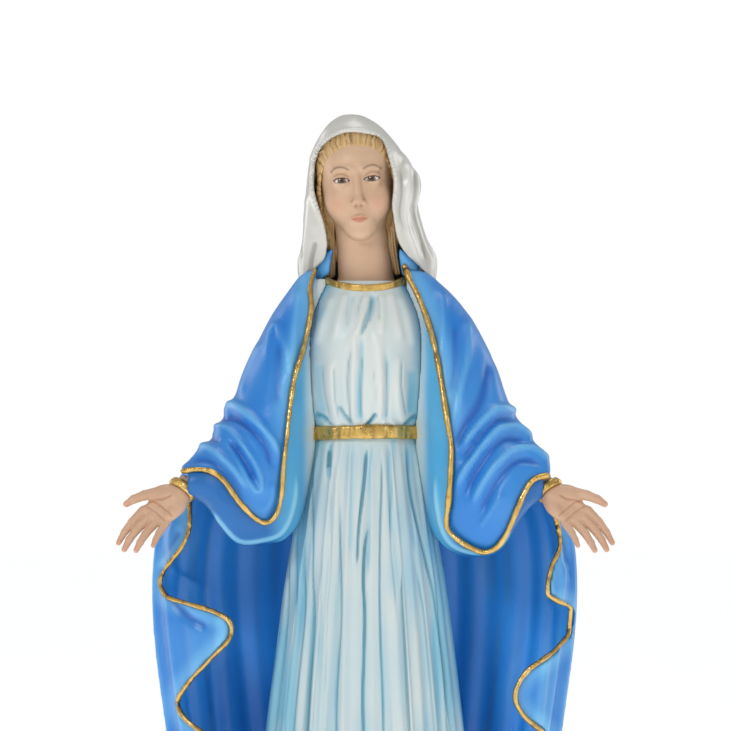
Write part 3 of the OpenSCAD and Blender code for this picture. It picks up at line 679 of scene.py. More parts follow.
FOLDS = [
    # over her right arm
    ([(-19.2, 249.3), (-20.4, 237.9), (-21.3, 228.3), (-21.6, 221)], 1.0, 1.3, 1.6),
    ([(-28.6, 226), (-28, 233), (-26.1, 236.4), (-24, 231), (-22.5, 224.7), (-22.2, 219)], 1.0, 0.9, 0.9),
    ([(-25.4, 232), (-25.6, 222), (-25.8, 212)], -0.9, 1.6, 1.6),
    ([(-30.3, 231.9), (-34.8, 222.9), (-36.6, 215)], 0.9, 1.1, 1.1),
    ([(-43.5, 209.5), (-41.7, 211.5), (-39, 212.7), (-35.4, 210.9), (-31.8, 207.9), (-28.8, 204.3),
      (-26.4, 200.7), (-24.2, 194)], 1.7, 1.1, 1.9),
    ([(-44, 207.5), (-39, 209), (-35, 206.8), (-31, 203.4), (-28.4, 199), (-26.8, 193)], -1.5, 1.3, 1.1),
    ([(-48, 203.2), (-46.5, 204.7), (-43.8, 206.1), (-40.2, 205.5), (-37.2, 202.5), (-34.8, 199.5),
      (-31.8, 194.7),
      (-30.3, 190.5), (-30.3, 187.5), (-31.8, 186.9), (-33.6, 189.3), (-35.4, 192.9), (-37.8, 197.1),
      (-40.8, 201.3)], 1.3, 0.9, 0.9),
    ([(-39.5, 202.6), (-36.4, 198), (-33.6, 193.4), (-32, 190)], -1.5, 1.0, 1.0),
    ([(-53, 196.4), (-51.6, 198.1), (-48.6, 200.1), (-45, 199.5), (-41.4, 196.5), (-38.4, 193.5),
      (-36, 189.9),
      (-33.6, 185.8)], 1.6, 1.0, 1.5),
    ([(-52, 195), (-48, 196.6), (-44, 195.4), (-40.4, 192.4), (-37.4, 188.6), (-35, 184)], -1.1, 1.1, 1.0),
    ([(-50, 202), (-46, 202.6), (-42, 202)], -1.2, 0.9, 0.9),
    ([(-26.6, 190), (-27.6, 184), (-30, 180.4)], 0.8, 1.2, 1.2),
    # over her left arm
    ([(22.5, 247.5), (22.6, 237.9), (22.4, 229)], 0.9, 1.2, 1.3),
    ([(19.5, 254), (22, 253.6), (24.9, 251.7), (27.6, 248.1)], -1.2, 0.8, 0.8),
    ([(29.7, 240), (29.9, 232), (29.4, 225.9), (27.3, 216.3), (25.5, 205)], 1.2, 1.4, 1.4),
    ([(26.4, 238), (26.2, 226), (24.9, 215)], -0.9, 1.4, 1.4),
    ([(36.3, 228), (35.1, 218.7), (32.7, 212.1), (28.5, 206.1), (26.1, 199)], -1.4, 1.5, 1.5),
    ([(44, 209.6), (42.9, 210.9), (38.7, 211.5), (35.1, 209.1), (30.9, 204.3),
      (26.7, 198.5)], 1.6, 1.5, 1.1),
    ([(44, 207.6), (39.4, 208.4), (35.4, 205.6), (31.2, 200.8), (27.6, 195.4)], -1.3, 1.1, 1.2),
    ([(48.4, 201.8), (47.1, 203.6), (43.5, 206.1), (38.7, 205.5), (35.1, 201.9), (31.5, 197.1),
      (27.9, 191.7),
      (26.1, 186)], 1.6, 1.4, 1.1),
    ([(48, 200.8), (43.4, 202.8), (38.6, 201.4), (34.6, 197), (31, 191), (28.4, 185)], -1.4, 1.1, 1.1),
    ([(53, 195.4), (51.9, 196.9), (48.3, 199.5), (43.5, 199.5), (39.9, 197.1), (36.3, 192.9), (32.7, 186.9),
      (30.1, 181)], 1.6, 1.4, 1.1),
    ([(52, 194.6), (47.4, 196.4), (43, 195.6), (39, 191.4), (35.4, 185.4), (33, 179.6)], -1.3, 1.1, 1.1),
    ([(39.9, 187), (36.3, 180.9), (32.7, 175.4)], 0.9, 1.0, 1.0),
    # swallow-tailed ends under the wrists
    ([(-60.5, 167), (-55, 160.5), (-48, 157)], 1.0, 1.4, 1.4),
    ([(-58, 155), (-52, 149.6), (-46, 146)], -1.2, 1.3, 1.3),
    ([(-54, 176), (-58, 169), (-60.5, 160)], -0.9, 1.4, 1.4),
    ([(59.5, 166), (57, 158), (55, 150)], 1.0, 1.4, 1.4),
    ([(55, 178), (58.5, 170), (60, 160)], -0.9, 1.4, 1.4),
]


def pleats(phi, z, seed):
    """Depth of the cloak's long folds at an angle round it."""
    rng = np.random.default_rng(seed)
    total = np.zeros(len(phi))
    count = 26
    for k in range(count):
        mid = -np.pi + 2 * np.pi * (k + rng.uniform(-0.28, 0.28)) / count
        drift = rng.uniform(-0.0006, 0.0006)
        wide = rng.uniform(0.055, 0.085)
        d = (phi - mid - drift * (200 - z) + np.pi) % (2 * np.pi) - np.pi
        total += rng.uniform(0.7, 1.25) * np.exp(-(d / wide) ** 2)
    return total - 0.45


def collar_field(g):
    """Cloth of the mantle standing up between the neck and the inside of the veil."""
    ax = np.abs(g.x)
    f = g.z - (260.4 - 0.5 * (ax - 8.4) - 0.12 * (g.y + 3))
    f = np.maximum(f, np.maximum(-3.6 + 0.25 * (ax - 9) - g.y, g.y - 2.4))
    f = np.maximum(f, 9.7 + 0.14 * (258 - g.z) - ax)
    f = np.maximum(f, 8.9 - np.sqrt((g.x - 0.6) ** 2 + (g.y - 4.2) ** 2))
    return np.maximum(np.maximum(f, veil_field(g, -2.2)), 247 - g.z)


def mantle():
    g = Grid((-65, -30, 12), (65, 37, 262), 0.8)
    hole = inside_loop(g.ax[0], g.ax[2], cloak_opening())[:, None, :]
    f = np.maximum(cloak_field(g), -np.maximum(-hole, g.y - 4))
    for side in (1, -1):
        f = both(f, np.maximum(drape(g, side), beyond_edge(g, side)), 3.0)
    inner = np.maximum(cloak_field(g, -2.6), g.z - 249)
    f = np.maximum(f, -inner)
    f = np.maximum(f, -torso_field(g, 1.2))
    f = np.maximum(f, -veil_field(g, -0.4))
    f = both(f, np.maximum(collar_field(g), -torso_field(g, 1.2)), 1.4)
    f = np.maximum(f, 14 - g.z)
    v, q = net(g, f)
    v = soften(v, q, 3)
    n = normals(v, q)
    a, b, cy = at(CLOAK, v[:, 2])
    rx, ry = v[:, 0] / a, (v[:, 1] - cy) / b
    out = units(np.stack([rx / a, ry / b], axis=1))
    facing_in = ramp(-(n[:, 0] * out[:, 0] + n[:, 1] * out[:, 1]), 0.2, 0.7)
    phi = np.arctan2(rx, ry)
    arm = ramp(v[:, 2], 172, 190) * ramp(-v[:, 1], 1, 9)
    amount = (0.3 + 1.9 * ramp(225 - v[:, 2], 0, 120)) * ramp(246 - v[:, 2], 0, 12) * (1 - arm)
    depth = pleats(phi, v[:, 2], 5) * amount
    v[:, :2] += out * depth[:, None]
    rel = 0.85 * strokes(v, n, FOLDS)
    v = v + n * rel[:, None]
    v = soften(v, q, 1)
    # paler along the gilt edges, on the crests of the folds and on the inside: painted highlights along the
    # edges on the front and on the crests of folds and pleats, painted light lifting the shaded inside,
    # painted shade in the hollows
    x, z = v[:, 0], v[:, 2]
    front = ramp(-n[:, 1], 0.0, 0.4)
    rim = np.zeros(len(v))
    zs = np.linspace(184, 16, 90)
    for side in (1, -1):
        d = near_line(x, z, gold_edge(side)[:66])
        rim = np.maximum(rim, (1 - ramp(d, 2.0, 7.5)) * ramp(z, 196, 215))
        fall = np.stack([side * at(CASCADE[side], zs)[0], zs], axis=1)
        rim = np.maximum(rim, 0.8 * (1 - ramp(near_line(x, z, fall), 1.5, 6)))
    light = 0.6 * ramp(rel, 0.35, 1.5) + 0.62 * rim * front + 0.16 * noise(v, 14.0, 3) + 0.12
    streak = noise(np.stack([40 * phi, 0 * phi, 0.08 * v[:, 2]], axis=1), 2.2, 9)
    light += 0.35 * ramp(depth, 0.2, 1.6) + facing_in * (0.3 + 0.45 * ramp(streak, -0.2, 0.7))
    deep = 0.7 * ramp(-rel, 0.1, 1.2) + 0.4 * ramp(-depth, 0.2, 1.4) * (1 - 0.5 * facing_in)
    # the third colour is the brighter blue painted as light on the inside
    tone = np.stack([light, deep, 0.85 * facing_in * (1 - 0.6 * ramp(-streak, 0.0, 0.8))], axis=1)
    build("mantle_cloth", v, q, "mantle", MANTLE, tone)
    return v, q


# Rolled lower edge of each undersleeve
HEM = {1: [(20.4, 196), (20.8, 184), (22.8, 174.5), (27, 170), (34, 168.8), (38.6, 170.8), (44, 178)],
       -1: [(-20.4, 196), (-20.8, 184), (-24.2, 175), (-30.5, 172.4), (-36.6, 172.4), (-41.4, 177.4),
            (-45, 183)]}


def undersleeve(side):
    """Cloth of the gown's sleeve showing under the mantle at one arm."""
    lo, hi = (12, 54) if side > 0 else (-54, -12)
    g = Grid((lo, -27, 160), (hi, 22, 250), 0.55)
    f = drape(g, side, -0.9)
    f = np.maximum(f, -(beyond_edge(g, side) + 2.2))
    f = np.maximum(f, side * g.x - 51.5)
    f = np.maximum(f, -torso_field(g, 0.1))
    v, q = net(g, f)
    v = soften(v, q, 3)
    n = normals(v, q)
    rel = strokes(v, n, [(HEM[side], 0.7, 0.8, 0.8)])
    v = v + n * rel[:, None]
    x = side * v[:, 0]
    pale = (1 - ramp(x, 14.8, 19.0)) * ramp(-n[:, 1], -0.4, 0.3)
    low = ramp(v[:, 2], 170, 186)
    # painted highlight on the rolled hem's crest: lighter there, and less deep
    light = 0.1 + 0.6 * ramp(rel, 0.2, 0.6) + 0.5 * pale + 0.12 * noise(v, 9, 14)
    deep = (0.95 * ramp(x, 21.5, 30) + 0.1) * (1 - 0.7 * ramp(rel, 0.15, 0.5))
    tone = np.stack([light, deep, pale * (0.35 + 0.6 * low)], axis=1)
    build("undersleeve_cloth_" + SIDE[side], v, q, "undersleeve_" + SIDE[side], SLEEVE, tone)


cloth_v, cloth_q = mantle()
undersleeve(-1)
undersleeve(1)


# ---- gilding laid on the cloth ----


cloth_tree = BVHTree.FromPolygons(cloth_v.tolist(), cloth_q.tolist())


def front_y(x, z):
    """Place of the cloth's front straight behind a point, or nan where there is no cloth."""
    hit = cloth_tree.ray_cast((x, -60, z), (0, 1, 0), 90)
    return hit[0][1] if hit[0] is not None else math.nan


def bead_on(points, inward, radius, seed):
    """Tube laid on the front of the mantle, sunk a little; rays are cast just inside the edge."""
    casts = np.array([[front_y(*place) for place in points + k * inward] for k in (0.5, 1.0, 1.5)])
    found = np.flatnonzero(~np.isnan(casts[1]))
    ys = np.interp(np.arange(len(points)), found, casts[1][found])
    for other in np.nan_to_num(casts[::2], nan=99.0):
        ys = np.where(np.abs(other - ys) < 1.5, np.minimum(ys, other), ys)
    for _ in range(3):
        crest = ys.copy()
        crest[1:-1] = (ys[:-2] + 2 * ys[1:-1] + ys[2:]) / 4
        ys = np.minimum(crest, ys + 0.05)
    path = np.column_stack([points[:, 0], ys - radius + 0.25, points[:, 1]])
    r = radius * (1 + 0.22 * noise(path, 4.0, seed) + 0.12 * noise(path, 1.4, seed + 1))
    r[:3] *= (0.35, 0.7, 0.9)
    r[-3:] *= (0.9, 0.7, 0.35)
    return tube(path, r, 14)


def gold_streaks_and_shade(v, q, seed):
    """Painted shade along both flanks of a bead, where it turns from the front, and brown in short streaks
    over its crown.
    """
    n = normals(v, q[q[:, 3] >= 0])
    flank = ramp(-n[:, 1], 0.62, 0.12)
    streak = ramp(noise(v, 1.7, seed), 0.35, 0.9) * ramp(noise(v, 6.0, seed + 1), -0.2, 0.6)
    return only(np.clip(0.8 * flank + 0.55 * streak, 0, 0.9))


def lay_bead(kind, side, points, shift, radius, seed):
    """Gilt bead along one edge of the mantle, moved inward from it by a share."""
    d = units(np.gradient(points, axis=0))
    inward = side * 0.9 * np.stack([-d[:, 1], d[:, 0]], axis=1)
    v, q = bead_on(points + shift * inward, inward, radius, seed + side)
    # painted shade on the bead's flanks, with brown streaks over its crown
    streaks_and_shade = gold_streaks_and_shade(v, q, seed + 2 + side)
    build(f"{kind}_gilt_{SIDE[side]}", v, q, f"{kind}_bead_{SIDE[side]}", GOLD, streaks_and_shade)


fall_z = np.linspace(186, 16, 360)
for s in (-1, 1):
    lay_bead("mantle", s, curve(EDGE[s], 260), 0.3, 0.86 if s > 0 else 0.78, 11)
    fall_x = np.minimum(at(CASCADE[s], fall_z)[0], at(CLOAK, fall_z)[0] - 1.6)
    lay_bead("cascade", s, np.stack([s * fall_x, fall_z], axis=1), 0.0, 0.74, 21)


# ---- gown ----
def oval_rings(table, zs, count):
    a, b, cy = at(table, zs)
    t = around(count)
    return [np.stack([a[i] * np.cos(t), cy[i] + b[i] * np.sin(t), np.full(count, z)], axis=1)
            for i, z in enumerate(zs)]


def capped(rings):
    """Rings closed by shrinking the end ones nearly to a point."""
    def shrink(r):
        mid = r.mean(0)
        return [mid + (r - mid) * (1 - k / 4) * 0.999 for k in (1, 2, 3, 4)]
    return shrink(rings[0])[::-1] + rings + shrink(rings[-1])


BODICE_FOLDS = [
    # gathers hanging from the neckline
    ([(1.9, 246), (1.2, 241.6), (-0.2, 237.6), (-1.4, 233)], -1.0, 0.5, 0.35),
    ([(3.2, 246), (2.2, 241), (1.0, 237)], -0.5, 0.5, 0.5),
    ([(0.4, 246), (-1.0, 240), (-2.4, 233)], 0.5, 0.8, 0.8),
    ([(4.6, 246), (4.8, 240), (4.4, 233)], 0.5, 1.0, 1.0),
    ([(-5.6, 246.4), (-7.4, 240), (-9.4, 231)], 0.4, 1.6, 1.2),
    ([(-3.6, 246), (-4.8, 241), (-5.4, 236)], -0.3, 0.6, 0.6),
    ([(7.2, 246.4), (8.6, 240), (10.4, 231)], 0.4, 1.2, 1.6),
    ([(-9.4, 245.6), (-12.4, 238), (-14.8, 229)], 0.45, 1.2, 1.6),
    ([(9.8, 245.6), (12.4, 238), (14.4, 229)], 0.4, 1.5, 1.2),
    # long folds over the waist
    ([(-2.6, 236), (-3.4, 226), (-3.8, 215), (-3.6, 205.6)], 0.6, 0.7, 2.0),
    ([(-4.7, 232), (-5.4, 222), (-5.2, 213), (-4.6, 206)], -0.45, 1.4, 0.7),
    ([(-1.0, 234), (-1.2, 224), (-1.6, 214), (-1.2, 206)], -0.5, 0.6, 1.2),
    ([(2.6, 236), (3.9, 226), (4.4, 216), (4.2, 206)], 0.55, 1.8, 0.8),
    ([(6.2, 230), (6.6, 220), (6.2, 212), (6.4, 206)], -0.4, 0.8, 1.6),
    ([(9.2, 228), (9.2, 220), (9.6, 212), (11.8, 206)], 0.5, 1.8, 1.0),
    ([(-9.6, 227), (-9.8, 218), (-8.6, 209), (-7.4, 205.6)], 0.45, 1.2, 2.0),
    ([(-13.4, 226), (-13.2, 217), (-11.4, 209)], -0.35, 1.2, 1.6),
    ([(13.4, 224), (13.4, 216), (13.0, 209)], -0.35, 1.6, 1.2),
    # creases pulled in by the girdle
    ([(-15.4, 209.6), (-12.4, 208.6), (-9.4, 206.2)], -0.6, 0.8, 0.5),
    ([(-8.4, 212.6), (-6.4, 209.4), (-3.6, 206.2)], -0.55, 0.8, 0.5),
    ([(15.6, 209.2), (13.4, 208), (11.2, 206.0)], -0.6, 0.5, 0.8),
    ([(3.4, 210), (1.6, 207.6), (0.1, 205.9)], -0.6, 0.5, 0.7),
    ([(-12.6, 206.6), (-10, 207.6), (-7, 207)], 0.4, 0.7, 0.7),
    ([(9, 206.4), (6.8, 207.8), (4.4, 207)], 0.4, 0.7, 0.7),
]


# Sharper lines cut between the gathers
BODICE_CUTS = [
    ([(2.3, 246), (1.7, 242), (0.6, 238), (-0.6, 234.4)], -0.8, 0.4, 0.25),
    ([(3.4, 246), (3.9, 241.6), (4.2, 237)], -0.5, 0.3, 0.3),
    ([(-0.8, 246), (-1.8, 242.6), (-2.6, 239)], -0.4, 0.3, 0.3),
    ([(-4.6, 246), (-5.4, 241), (-5.8, 234)], -0.35, 0.3, 0.3),
    ([(-4.2, 230), (-5.2, 222), (-5.0, 214), (-4.2, 206)], -0.6, 0.35, 0.3),
    ([(-0.9, 228), (-1.3, 219), (-1.4, 207)], -0.6, 0.3, 0.35),
    ([(2.0, 226), (2.8, 217), (2.4, 209)], -0.4, 0.3, 0.3),
    ([(6.3, 227), (6.5, 218), (6.2, 207)], -0.55, 0.35, 0.35),
    ([(10.6, 226), (10.4, 218), (12.2, 208)], -0.5, 0.35, 0.35),
    ([(-9.2, 225), (-9.0, 216), (-7.4, 207)], -0.5, 0.35, 0.35),
    ([(-12.8, 224), (-12.2, 216), (-10.2, 208)], -0.4, 0.35, 0.35),
    ([(3.2, 210), (1.6, 207.6), (0.2, 206)], -0.9, 0.35, 0.4),
    ([(-8.0, 212), (-6.2, 209.2), (-3.8, 206.2)], -0.7, 0.4, 0.3),
    ([(-15.2, 209.6), (-12.4, 208.4), (-9.6, 206.2)], -0.6, 0.4, 0.3),
    ([(15.2, 209.2), (13.4, 208), (11.4, 206.2)], -0.6, 0.3, 0.4),
]


def gown_tone(v, rel, width):
    """Painted shade in blue in the hollows and towards the sides, broken by noise, and painted highlights on
    the crests; the third colour is left for the caller.
    """
    x = np.abs(v[:, 0]) / width
    shade = 0.8 * ramp(-rel, 0.05, 0.7) + 0.9 * ramp(x, 0.5, 0.98) ** 1.3 + 0.06
    shade *= 0.55 + 0.6 * ramp(noise(v * (1, 1, 0.12), 3.2, 12), -0.5, 0.6)
    shade += 0.14 * noise(v, 9.0, 8)
    return np.stack([0.3 + 0.6 * ramp(rel, 0.05, 0.5), shade, 0 * x], axis=1)


def bodice():
    zs = np.linspace(202.6, 249.6, 110)
    v, q = loft(capped(oval_rings(TORSO, zs, 240)), False)
    n = normals(v, q)
    rel = 1.35 * strokes(v, n, BODICE_FOLDS)
    lines = 0.8 * strokes(v, n, BODICE_CUTS)
    v = v + n * (rel + lines)[:, None]
    width = at(TORSO, v[:, 2])[0]
    tone = gown_tone(v, rel + 0.4 * lines, width)
    # painted shade in the third colour, dark teal, where the bodice runs under the mantle and sleeves, and
    # in its cut lines
    shade_under_mantle = ramp(np.abs(v[:, 0]), 15.2, 16.8)
    tone[:, 2] = np.clip(0.75 * shade_under_mantle + 0.45 * ramp(-lines, 0.12, 0.5), 0, 0.9)
    build("gown_bodice_cloth", v, q, "gown_bodice", GOWN, tone)


def hoop(rings):
    """Closed band through rings of equal count, the last joined to the first."""
    return np.vstack(rings), wall(len(rings), len(rings[0]), True)[:, ::-1]


def band(path, out, half, thick, seed):
    """Moulded gold strip: path of its middle, unit vectors outward, half its height and its thickness."""
    c, s = np.cos(around(20)), np.sin(around(20))
    wob, lumps = noise(path, 3.0, seed), noise(path, 1.3, seed + 1)
    rings = []
    for i in range(len(path)):
        h = half * (1 + 0.07 * wob[i])
        w = thick * (1 + 0.25 * lumps[i])
        px, pz = np.sign(c) * np.abs(c) ** 0.55 * w, np.sign(s) * np.abs(s) ** 0.55 * h
        groove = 0.16 * thick * (np.exp(-((pz / h - 0.1 * wob[i]) / 0.16) ** 2)) * (c > 0)
        rings.append(path[i] + np.outer(px - groove, out[i]) + np.outer(pz, (0, 0, 1.0)))
    return hoop(rings)


def ring_path(z_of, grow):
    """Ring round the body whose height hangs on the cosine and sine of the angle, and its way outward."""
    c, s = np.cos(around(260)), np.sin(around(260))
    z = z_of(c, s)
    a, b, cy = at(TORSO, z)
    p = np.stack([(a + grow) * c, cy + (b + grow) * s, z], axis=1)
    return p, units(np.stack([c / a, s / b, 0 * c], axis=1))


def strip_wash(v, seed):
    """Upright brown streaks of thin gilding, broken along the strip."""
    streak = ramp(noise(v * (1, 1, 0.25), 1.1, seed), 0.1, 0.8) * ramp(noise(v, 5.0, seed + 1), -0.5, 0.5)
    return only(0.75 * streak)


def strip(name, node, z_of, grow, half, thick, seed):
    """Gilt strip laid round the gown."""
    v, q = band(*ring_path(z_of, grow), half, thick, seed)
    build(name, v, q, node, GOLD, strip_wash(v, seed + 2))


bodice()
strip("girdle_gilt", "girdle", lambda c, s: 204.3 + 0.25 * np.sin(3 * c + 1), 0.7, 2.1, 1.0, 31)
strip("neckline_gilt", "neckline_band", lambda c, s: 247.4 + 2.4 * c * c + 0.6 * ramp(s, 0, 1),
      0.15, 1.05, 0.75, 41)


def hem_height(x, y):
    """Bottom edge of the skirt, lifted in an arch over the toes."""
    arch = 10.6 * np.sqrt(np.clip(1 - (x / 14.4) ** 2, 0, 1))
    return 14.0 + arch * ramp(-y, 8, 16)


# Lines cut into the skirt: places on its front, depth, width to each side, height where each runs out
SKIRT_CUTS = [
    ([(-15.7, 198), (-15.5, 181), (-15.5, 164), (-15.0, 149)], -0.55, 0.45, 0.3, 60),
    ([(-10.9, 199), (-11.1, 193.5)], -0.9, 0.5, 0.35, 193),
    ([(-10.2, 194), (-10.0, 181), (-10.2, 164)], -0.3, 0.35, 0.35, 120),
    ([(-7.5, 190), (-7.4, 172), (-7.2, 150)], -0.5, 0.35, 0.35, 44),
    ([(-12.8, 176), (-13.0, 160), (-12.8, 149)], -0.3, 0.4, 0.4, 90),
    ([(0.4, 200.5), (-0.3, 189.7), (-1.9, 175), (-2.4, 164)], -0.95, 0.35, 0.55, 162),
    ([(1.1, 178), (-0.2, 170.8), (-0.7, 160.5), (-0.3, 151)], -0.85, 0.45, 0.35, 104),
    ([(4.4, 200.5), (4.6, 189.7), (4.2, 172.5), (4.2, 149.4)], -0.6, 0.4, 0.3, 30),
    ([(7.3, 198), (7.6, 187), (7.4, 175)], -0.35, 0.5, 0.35, 150),
    ([(10.9, 164.5), (10.5, 157), (10.8, 149)], -0.8, 0.4, 0.4, 40),
    ([(13.0, 200.5), (12.6, 193), (14.7, 179.4), (18.1, 164), (20.4, 153)], -0.6, 0.5, 0.35, 70),
    ([(14.2, 168), (16.0, 157), (17.3, 149)], -0.4, 0.4, 0.4, 34),
    ([(-26.2, 171), (-26.8, 160), (-27.4, 149)], -0.5, 0.4, 0.4, 28),
    ([(-24.2, 172), (-24.6, 160), (-25.0, 149)], -0.5, 0.4, 0.4, 40),
    ([(-22.0, 178), (-22.6, 164), (-22.8, 149)], -0.5, 0.4, 0.4, 24),
    ([(-19.8, 184), (-20.2, 168), (-20.4, 149)], -0.45, 0.4, 0.4, 52),
    ([(-17.4, 180), (-17.8, 164), (-17.9, 149)], -0.45, 0.4, 0.4, 30),
]


SKIRT_TOP = 203.4


def skirt_width(s):
    """Half width of the skirt from its top, 0, to its hem, 1."""
    return at(SKIRT, s)[0] * 20.2 + 15.8


def run_down(line, stop):
    """The line carried on below its last place, spreading as the skirt does, down to a height."""
    (x0, z0), rest = line[-1], []
    if stop < z0 - 6:
        start = skirt_width((SKIRT_TOP - z0) / 180)
        for z in np.linspace(z0, stop, 5)[1:]:
            spread = skirt_width((SKIRT_TOP - z) / 180)
            rest.append((x0 * spread / start + 0.5 * math.sin(0.09 * z + x0), z))
    return list(line) + rest


def skirt():
    count = 480
    t = around(count)
    rng = np.random.default_rng(17)
    folds = [(2 * np.pi * (k + rng.uniform(-0.38, 0.38)) / 34, rng.uniform(0.03, 0.07),
              rng.uniform(0.5, 1.3), rng.uniform(-0.05, 0.05), rng.uniform(0, 6.28)) for k in range(34)]

    def ring(s, grow, foldy=1.0):
        a = skirt_width(s)
        _, b, cy = at(SKIRT, s)
        d = np.zeros(count)
        for mid, w, h, drift, ph in folds:
            m = mid + drift * s + 0.02 * np.sin(ph + 3.5 * s)
            gap_t = (t - m + np.pi) % (2 * np.pi) - np.pi
            w_s = w * (1.25 - 0.3 * s)
            d += h * np.exp(-(gap_t / w_s) ** 2)
        depth = (d - 0.5) * (0.6 + 1.4 * ramp(s, 0.0, 0.9)) * ramp(s, -0.004, 0.05) * foldy
        x, y = (a + grow + depth) * np.cos(t), cy + (b + grow + depth) * np.sin(t)
        low = hem_height(x, y)
        return np.stack([x, y, SKIRT_TOP + (low - SKIRT_TOP) * s], axis=1), depth

    rings, depths = [list(c) for c in zip(*(ring(float(s), 0.0) for s in np.linspace(0, 1, 190)))]
    # the hem turns in and up on the inside, counted 1 deeper there, which paints it in shade
    for s, g, f in ((1.0025, -0.5, 1.0), (1.003, -1.1, 0.9), (0.999, -1.9, 0.7), (0.97, -2.1, 0.5),
                    (0.9, -2.2, 0.2)):
        r, d = ring(s, g, f)
        rings.append(r)
        depths.append(d - 1.0)
    whole = capped(rings)
    ends = np.zeros(count * (len(whole) - len(rings)) // 2)
    depth = np.concatenate([ends] + depths + [ends])
    v, q = loft(whole, False)
    q = q[:, ::-1]
    width = skirt_width(np.clip((SKIRT_TOP - v[:, 2]) / (SKIRT_TOP - 14), 0, 1))
    n = normals(v, q)
    marks = [([(-10.2, 201.6), (-10.6, 196), (-10.9, 190)], -0.7, 0.5, 0.5),
             ([(-9, 201.6), (-8.6, 192), (-8.8, 178)], 0.4, 0.8, 0.8),
             ([(2.2, 201.6), (1.2, 190), (1.0, 176), (0.6, 160)], -0.45, 0.5, 0.7),
             ([(-3.4, 201.8), (-4, 186), (-4.4, 166)], -0.45, 0.5, 0.6),
             ([(7.2, 201.6), (7.0, 190), (7.8, 172)], -0.5, 0.5, 0.7),
             ([(12.2, 201.4), (13, 188), (14.6, 168)], -0.5, 0.6, 0.8)]
    rel = strokes(v, n, marks)
    lines = strokes(v, n, [(run_down(line, stop), h, wl, wr) for line, h, wl, wr, stop in SKIRT_CUTS])
    v = v + n * (rel + lines)[:, None]
    # painted shade in the fold hollows and cut lines, painted highlights on the crests
    tone = gown_tone(v, rel + 0.45 * depth + 0.5 * lines, width + 1.0)
    # blue streaks, stronger towards the sides, where they add painted shade
    outer = 0.25 + 0.75 * ramp(np.abs(v[:, 0] + 1) / width, 0.18, 0.6)
    streaks_and_shade = ramp(noise(v * (1, 1, 0.035), 2.6, 23), -0.1, 0.75) * outer
    tone[:, 1] = np.clip(0.9 * tone[:, 1] + 0.1 + 0.42 * streaks_and_shade, 0, 0.95)
    # the third colour, dark teal, is painted shade in the front's fold hollows, broken by streaks, and in
    # the cut lines
    streak = ramp(noise(v * (1, 1, 0.06), 4.2, 19), -0.2, 0.7)
    tone[:, 2] = 0.5 * ramp(-depth, 0.25, 0.5) * streak * (v[:, 1] < 5)
    tone[:, 2] = np.clip(tone[:, 2] + 0.62 * ramp(-lines, 0.16, 0.5), 0, 0.9)
    build("gown_skirt_cloth", v, q, "gown_skirt", GOWN, tone)


skirt()

# ---- veil ----
# Rim of the veil round the face: x and z
VEIL_EDGE = [(-18.8, 244), (-17.8, 249.6), (-14.4, 253.6), (-12.0, 256.4), (-11.2, 260.6), (-12.2, 266),
             (-14.8, 274), (-15.5, 278), (-14.9, 286), (-12, 291), (-6.3, 294.2), (0, 294), (5, 292),
             (7.8, 284.4), (8.7, 278.4), (8, 272), (8.6, 266), (9.8, 261), (12.4, 257), (17.0, 252.6),
             (19.8, 244)]


def veil():
    g = Grid((-23, -16, 245), (24, 24, 302), 0.42)
    rim = curve(VEIL_EDGE, 160)
    hole = inside_loop(g.ax[0], g.ax[2], [list(p) for p in rim])[:, None, :]
    f = veil_field(g)
    f = both(f, ball(g, (13.6, -1.5, 278.4), (2.5, 4.4, 4.6)), 4.0)
    f = np.maximum(f, g.z - 299.8)
    shell = np.maximum(f, -(f + 1.7))
    shell = np.maximum(shell, 246 - g.z)
    f = np.maximum(shell, -np.maximum(-hole, g.y - 5))
    v, q = net(g, f)
    v = soften(v, q, 4)
    n = normals(v, q)
    marks = [(VEIL_EDGE[4:17], 0.5, 0.9, 0.9), ([(-16.8, 276), (-17.2, 268), (-18.2, 256)], 0.5, 0.9, 0.9),
             ([(-14.6, 262), (-16, 256), (-16.6, 248)], -0.7, 0.8, 0.8),
             ([(-18.6, 268), (-19.4, 256)], -0.5, 0.7, 0.7),
             ([(11, 290), (12.6, 284), (12.2, 276), (11.6, 268), (14, 260), (17, 252)], 0.7, 0.9, 0.9),
             ([(10.4, 284), (10.8, 276), (10.4, 270), (12, 264)], -0.5, 0.6, 0.6),
             ([(14, 284), (14.8, 278), (14.2, 270), (16.4, 262), (18.4, 254)], -0.6, 0.8, 0.8),
             ([(-10, 296), (-14, 291), (-16.4, 285)], 0.4, 0.9, 0.9),
             ([(8, 295), (11, 291.6), (13, 287)], 0.4, 0.9, 0.9)]
    rel = strokes(v, n, marks, 0.8)
    back = ramp(v[:, 1], 2, 9)
    phi = np.arctan2(v[:, 0] + 1, v[:, 1] - 5)
    long_fold = 0.55 * np.cos(17 * phi + 0.05 * (v[:, 2] - 270)) + 0.3 * np.cos(29 * phi + 1)
    rel = rel + long_fold * ramp(296 - v[:, 2], 0, 18) * back * 0.8
    v = soften(v + n * rel[:, None], q, 1)
    rough = noise(v, 3.2, 51)
    v = v + n * (0.12 * rough)[:, None]
    # painted highlights on the crests, painted shade in the hollows and darker towards the bottom below 262;
    # inside the veil below 272 the third colour is painted in place of that shade
    light = 0.45 + 0.5 * ramp(rel, 0.1, 0.6) + 0.12 * rough
    shade = 0.75 * ramp(-rel, 0.08, 0.55) + 0.5 * ramp(v[:, 2], 262, 250)
    inside_shade = ramp(-(n[:, 0] * (v[:, 0] + 1) + n[:, 1] * (v[:, 1] - 5)), 0, 6) * ramp(272 - v[:, 2], 0, 8)
    tone = np.stack([light, shade * (1 - inside_shade), inside_shade], axis=1)
    build("veil_cloth", v, q, "veil", VEILING, tone)


veil()


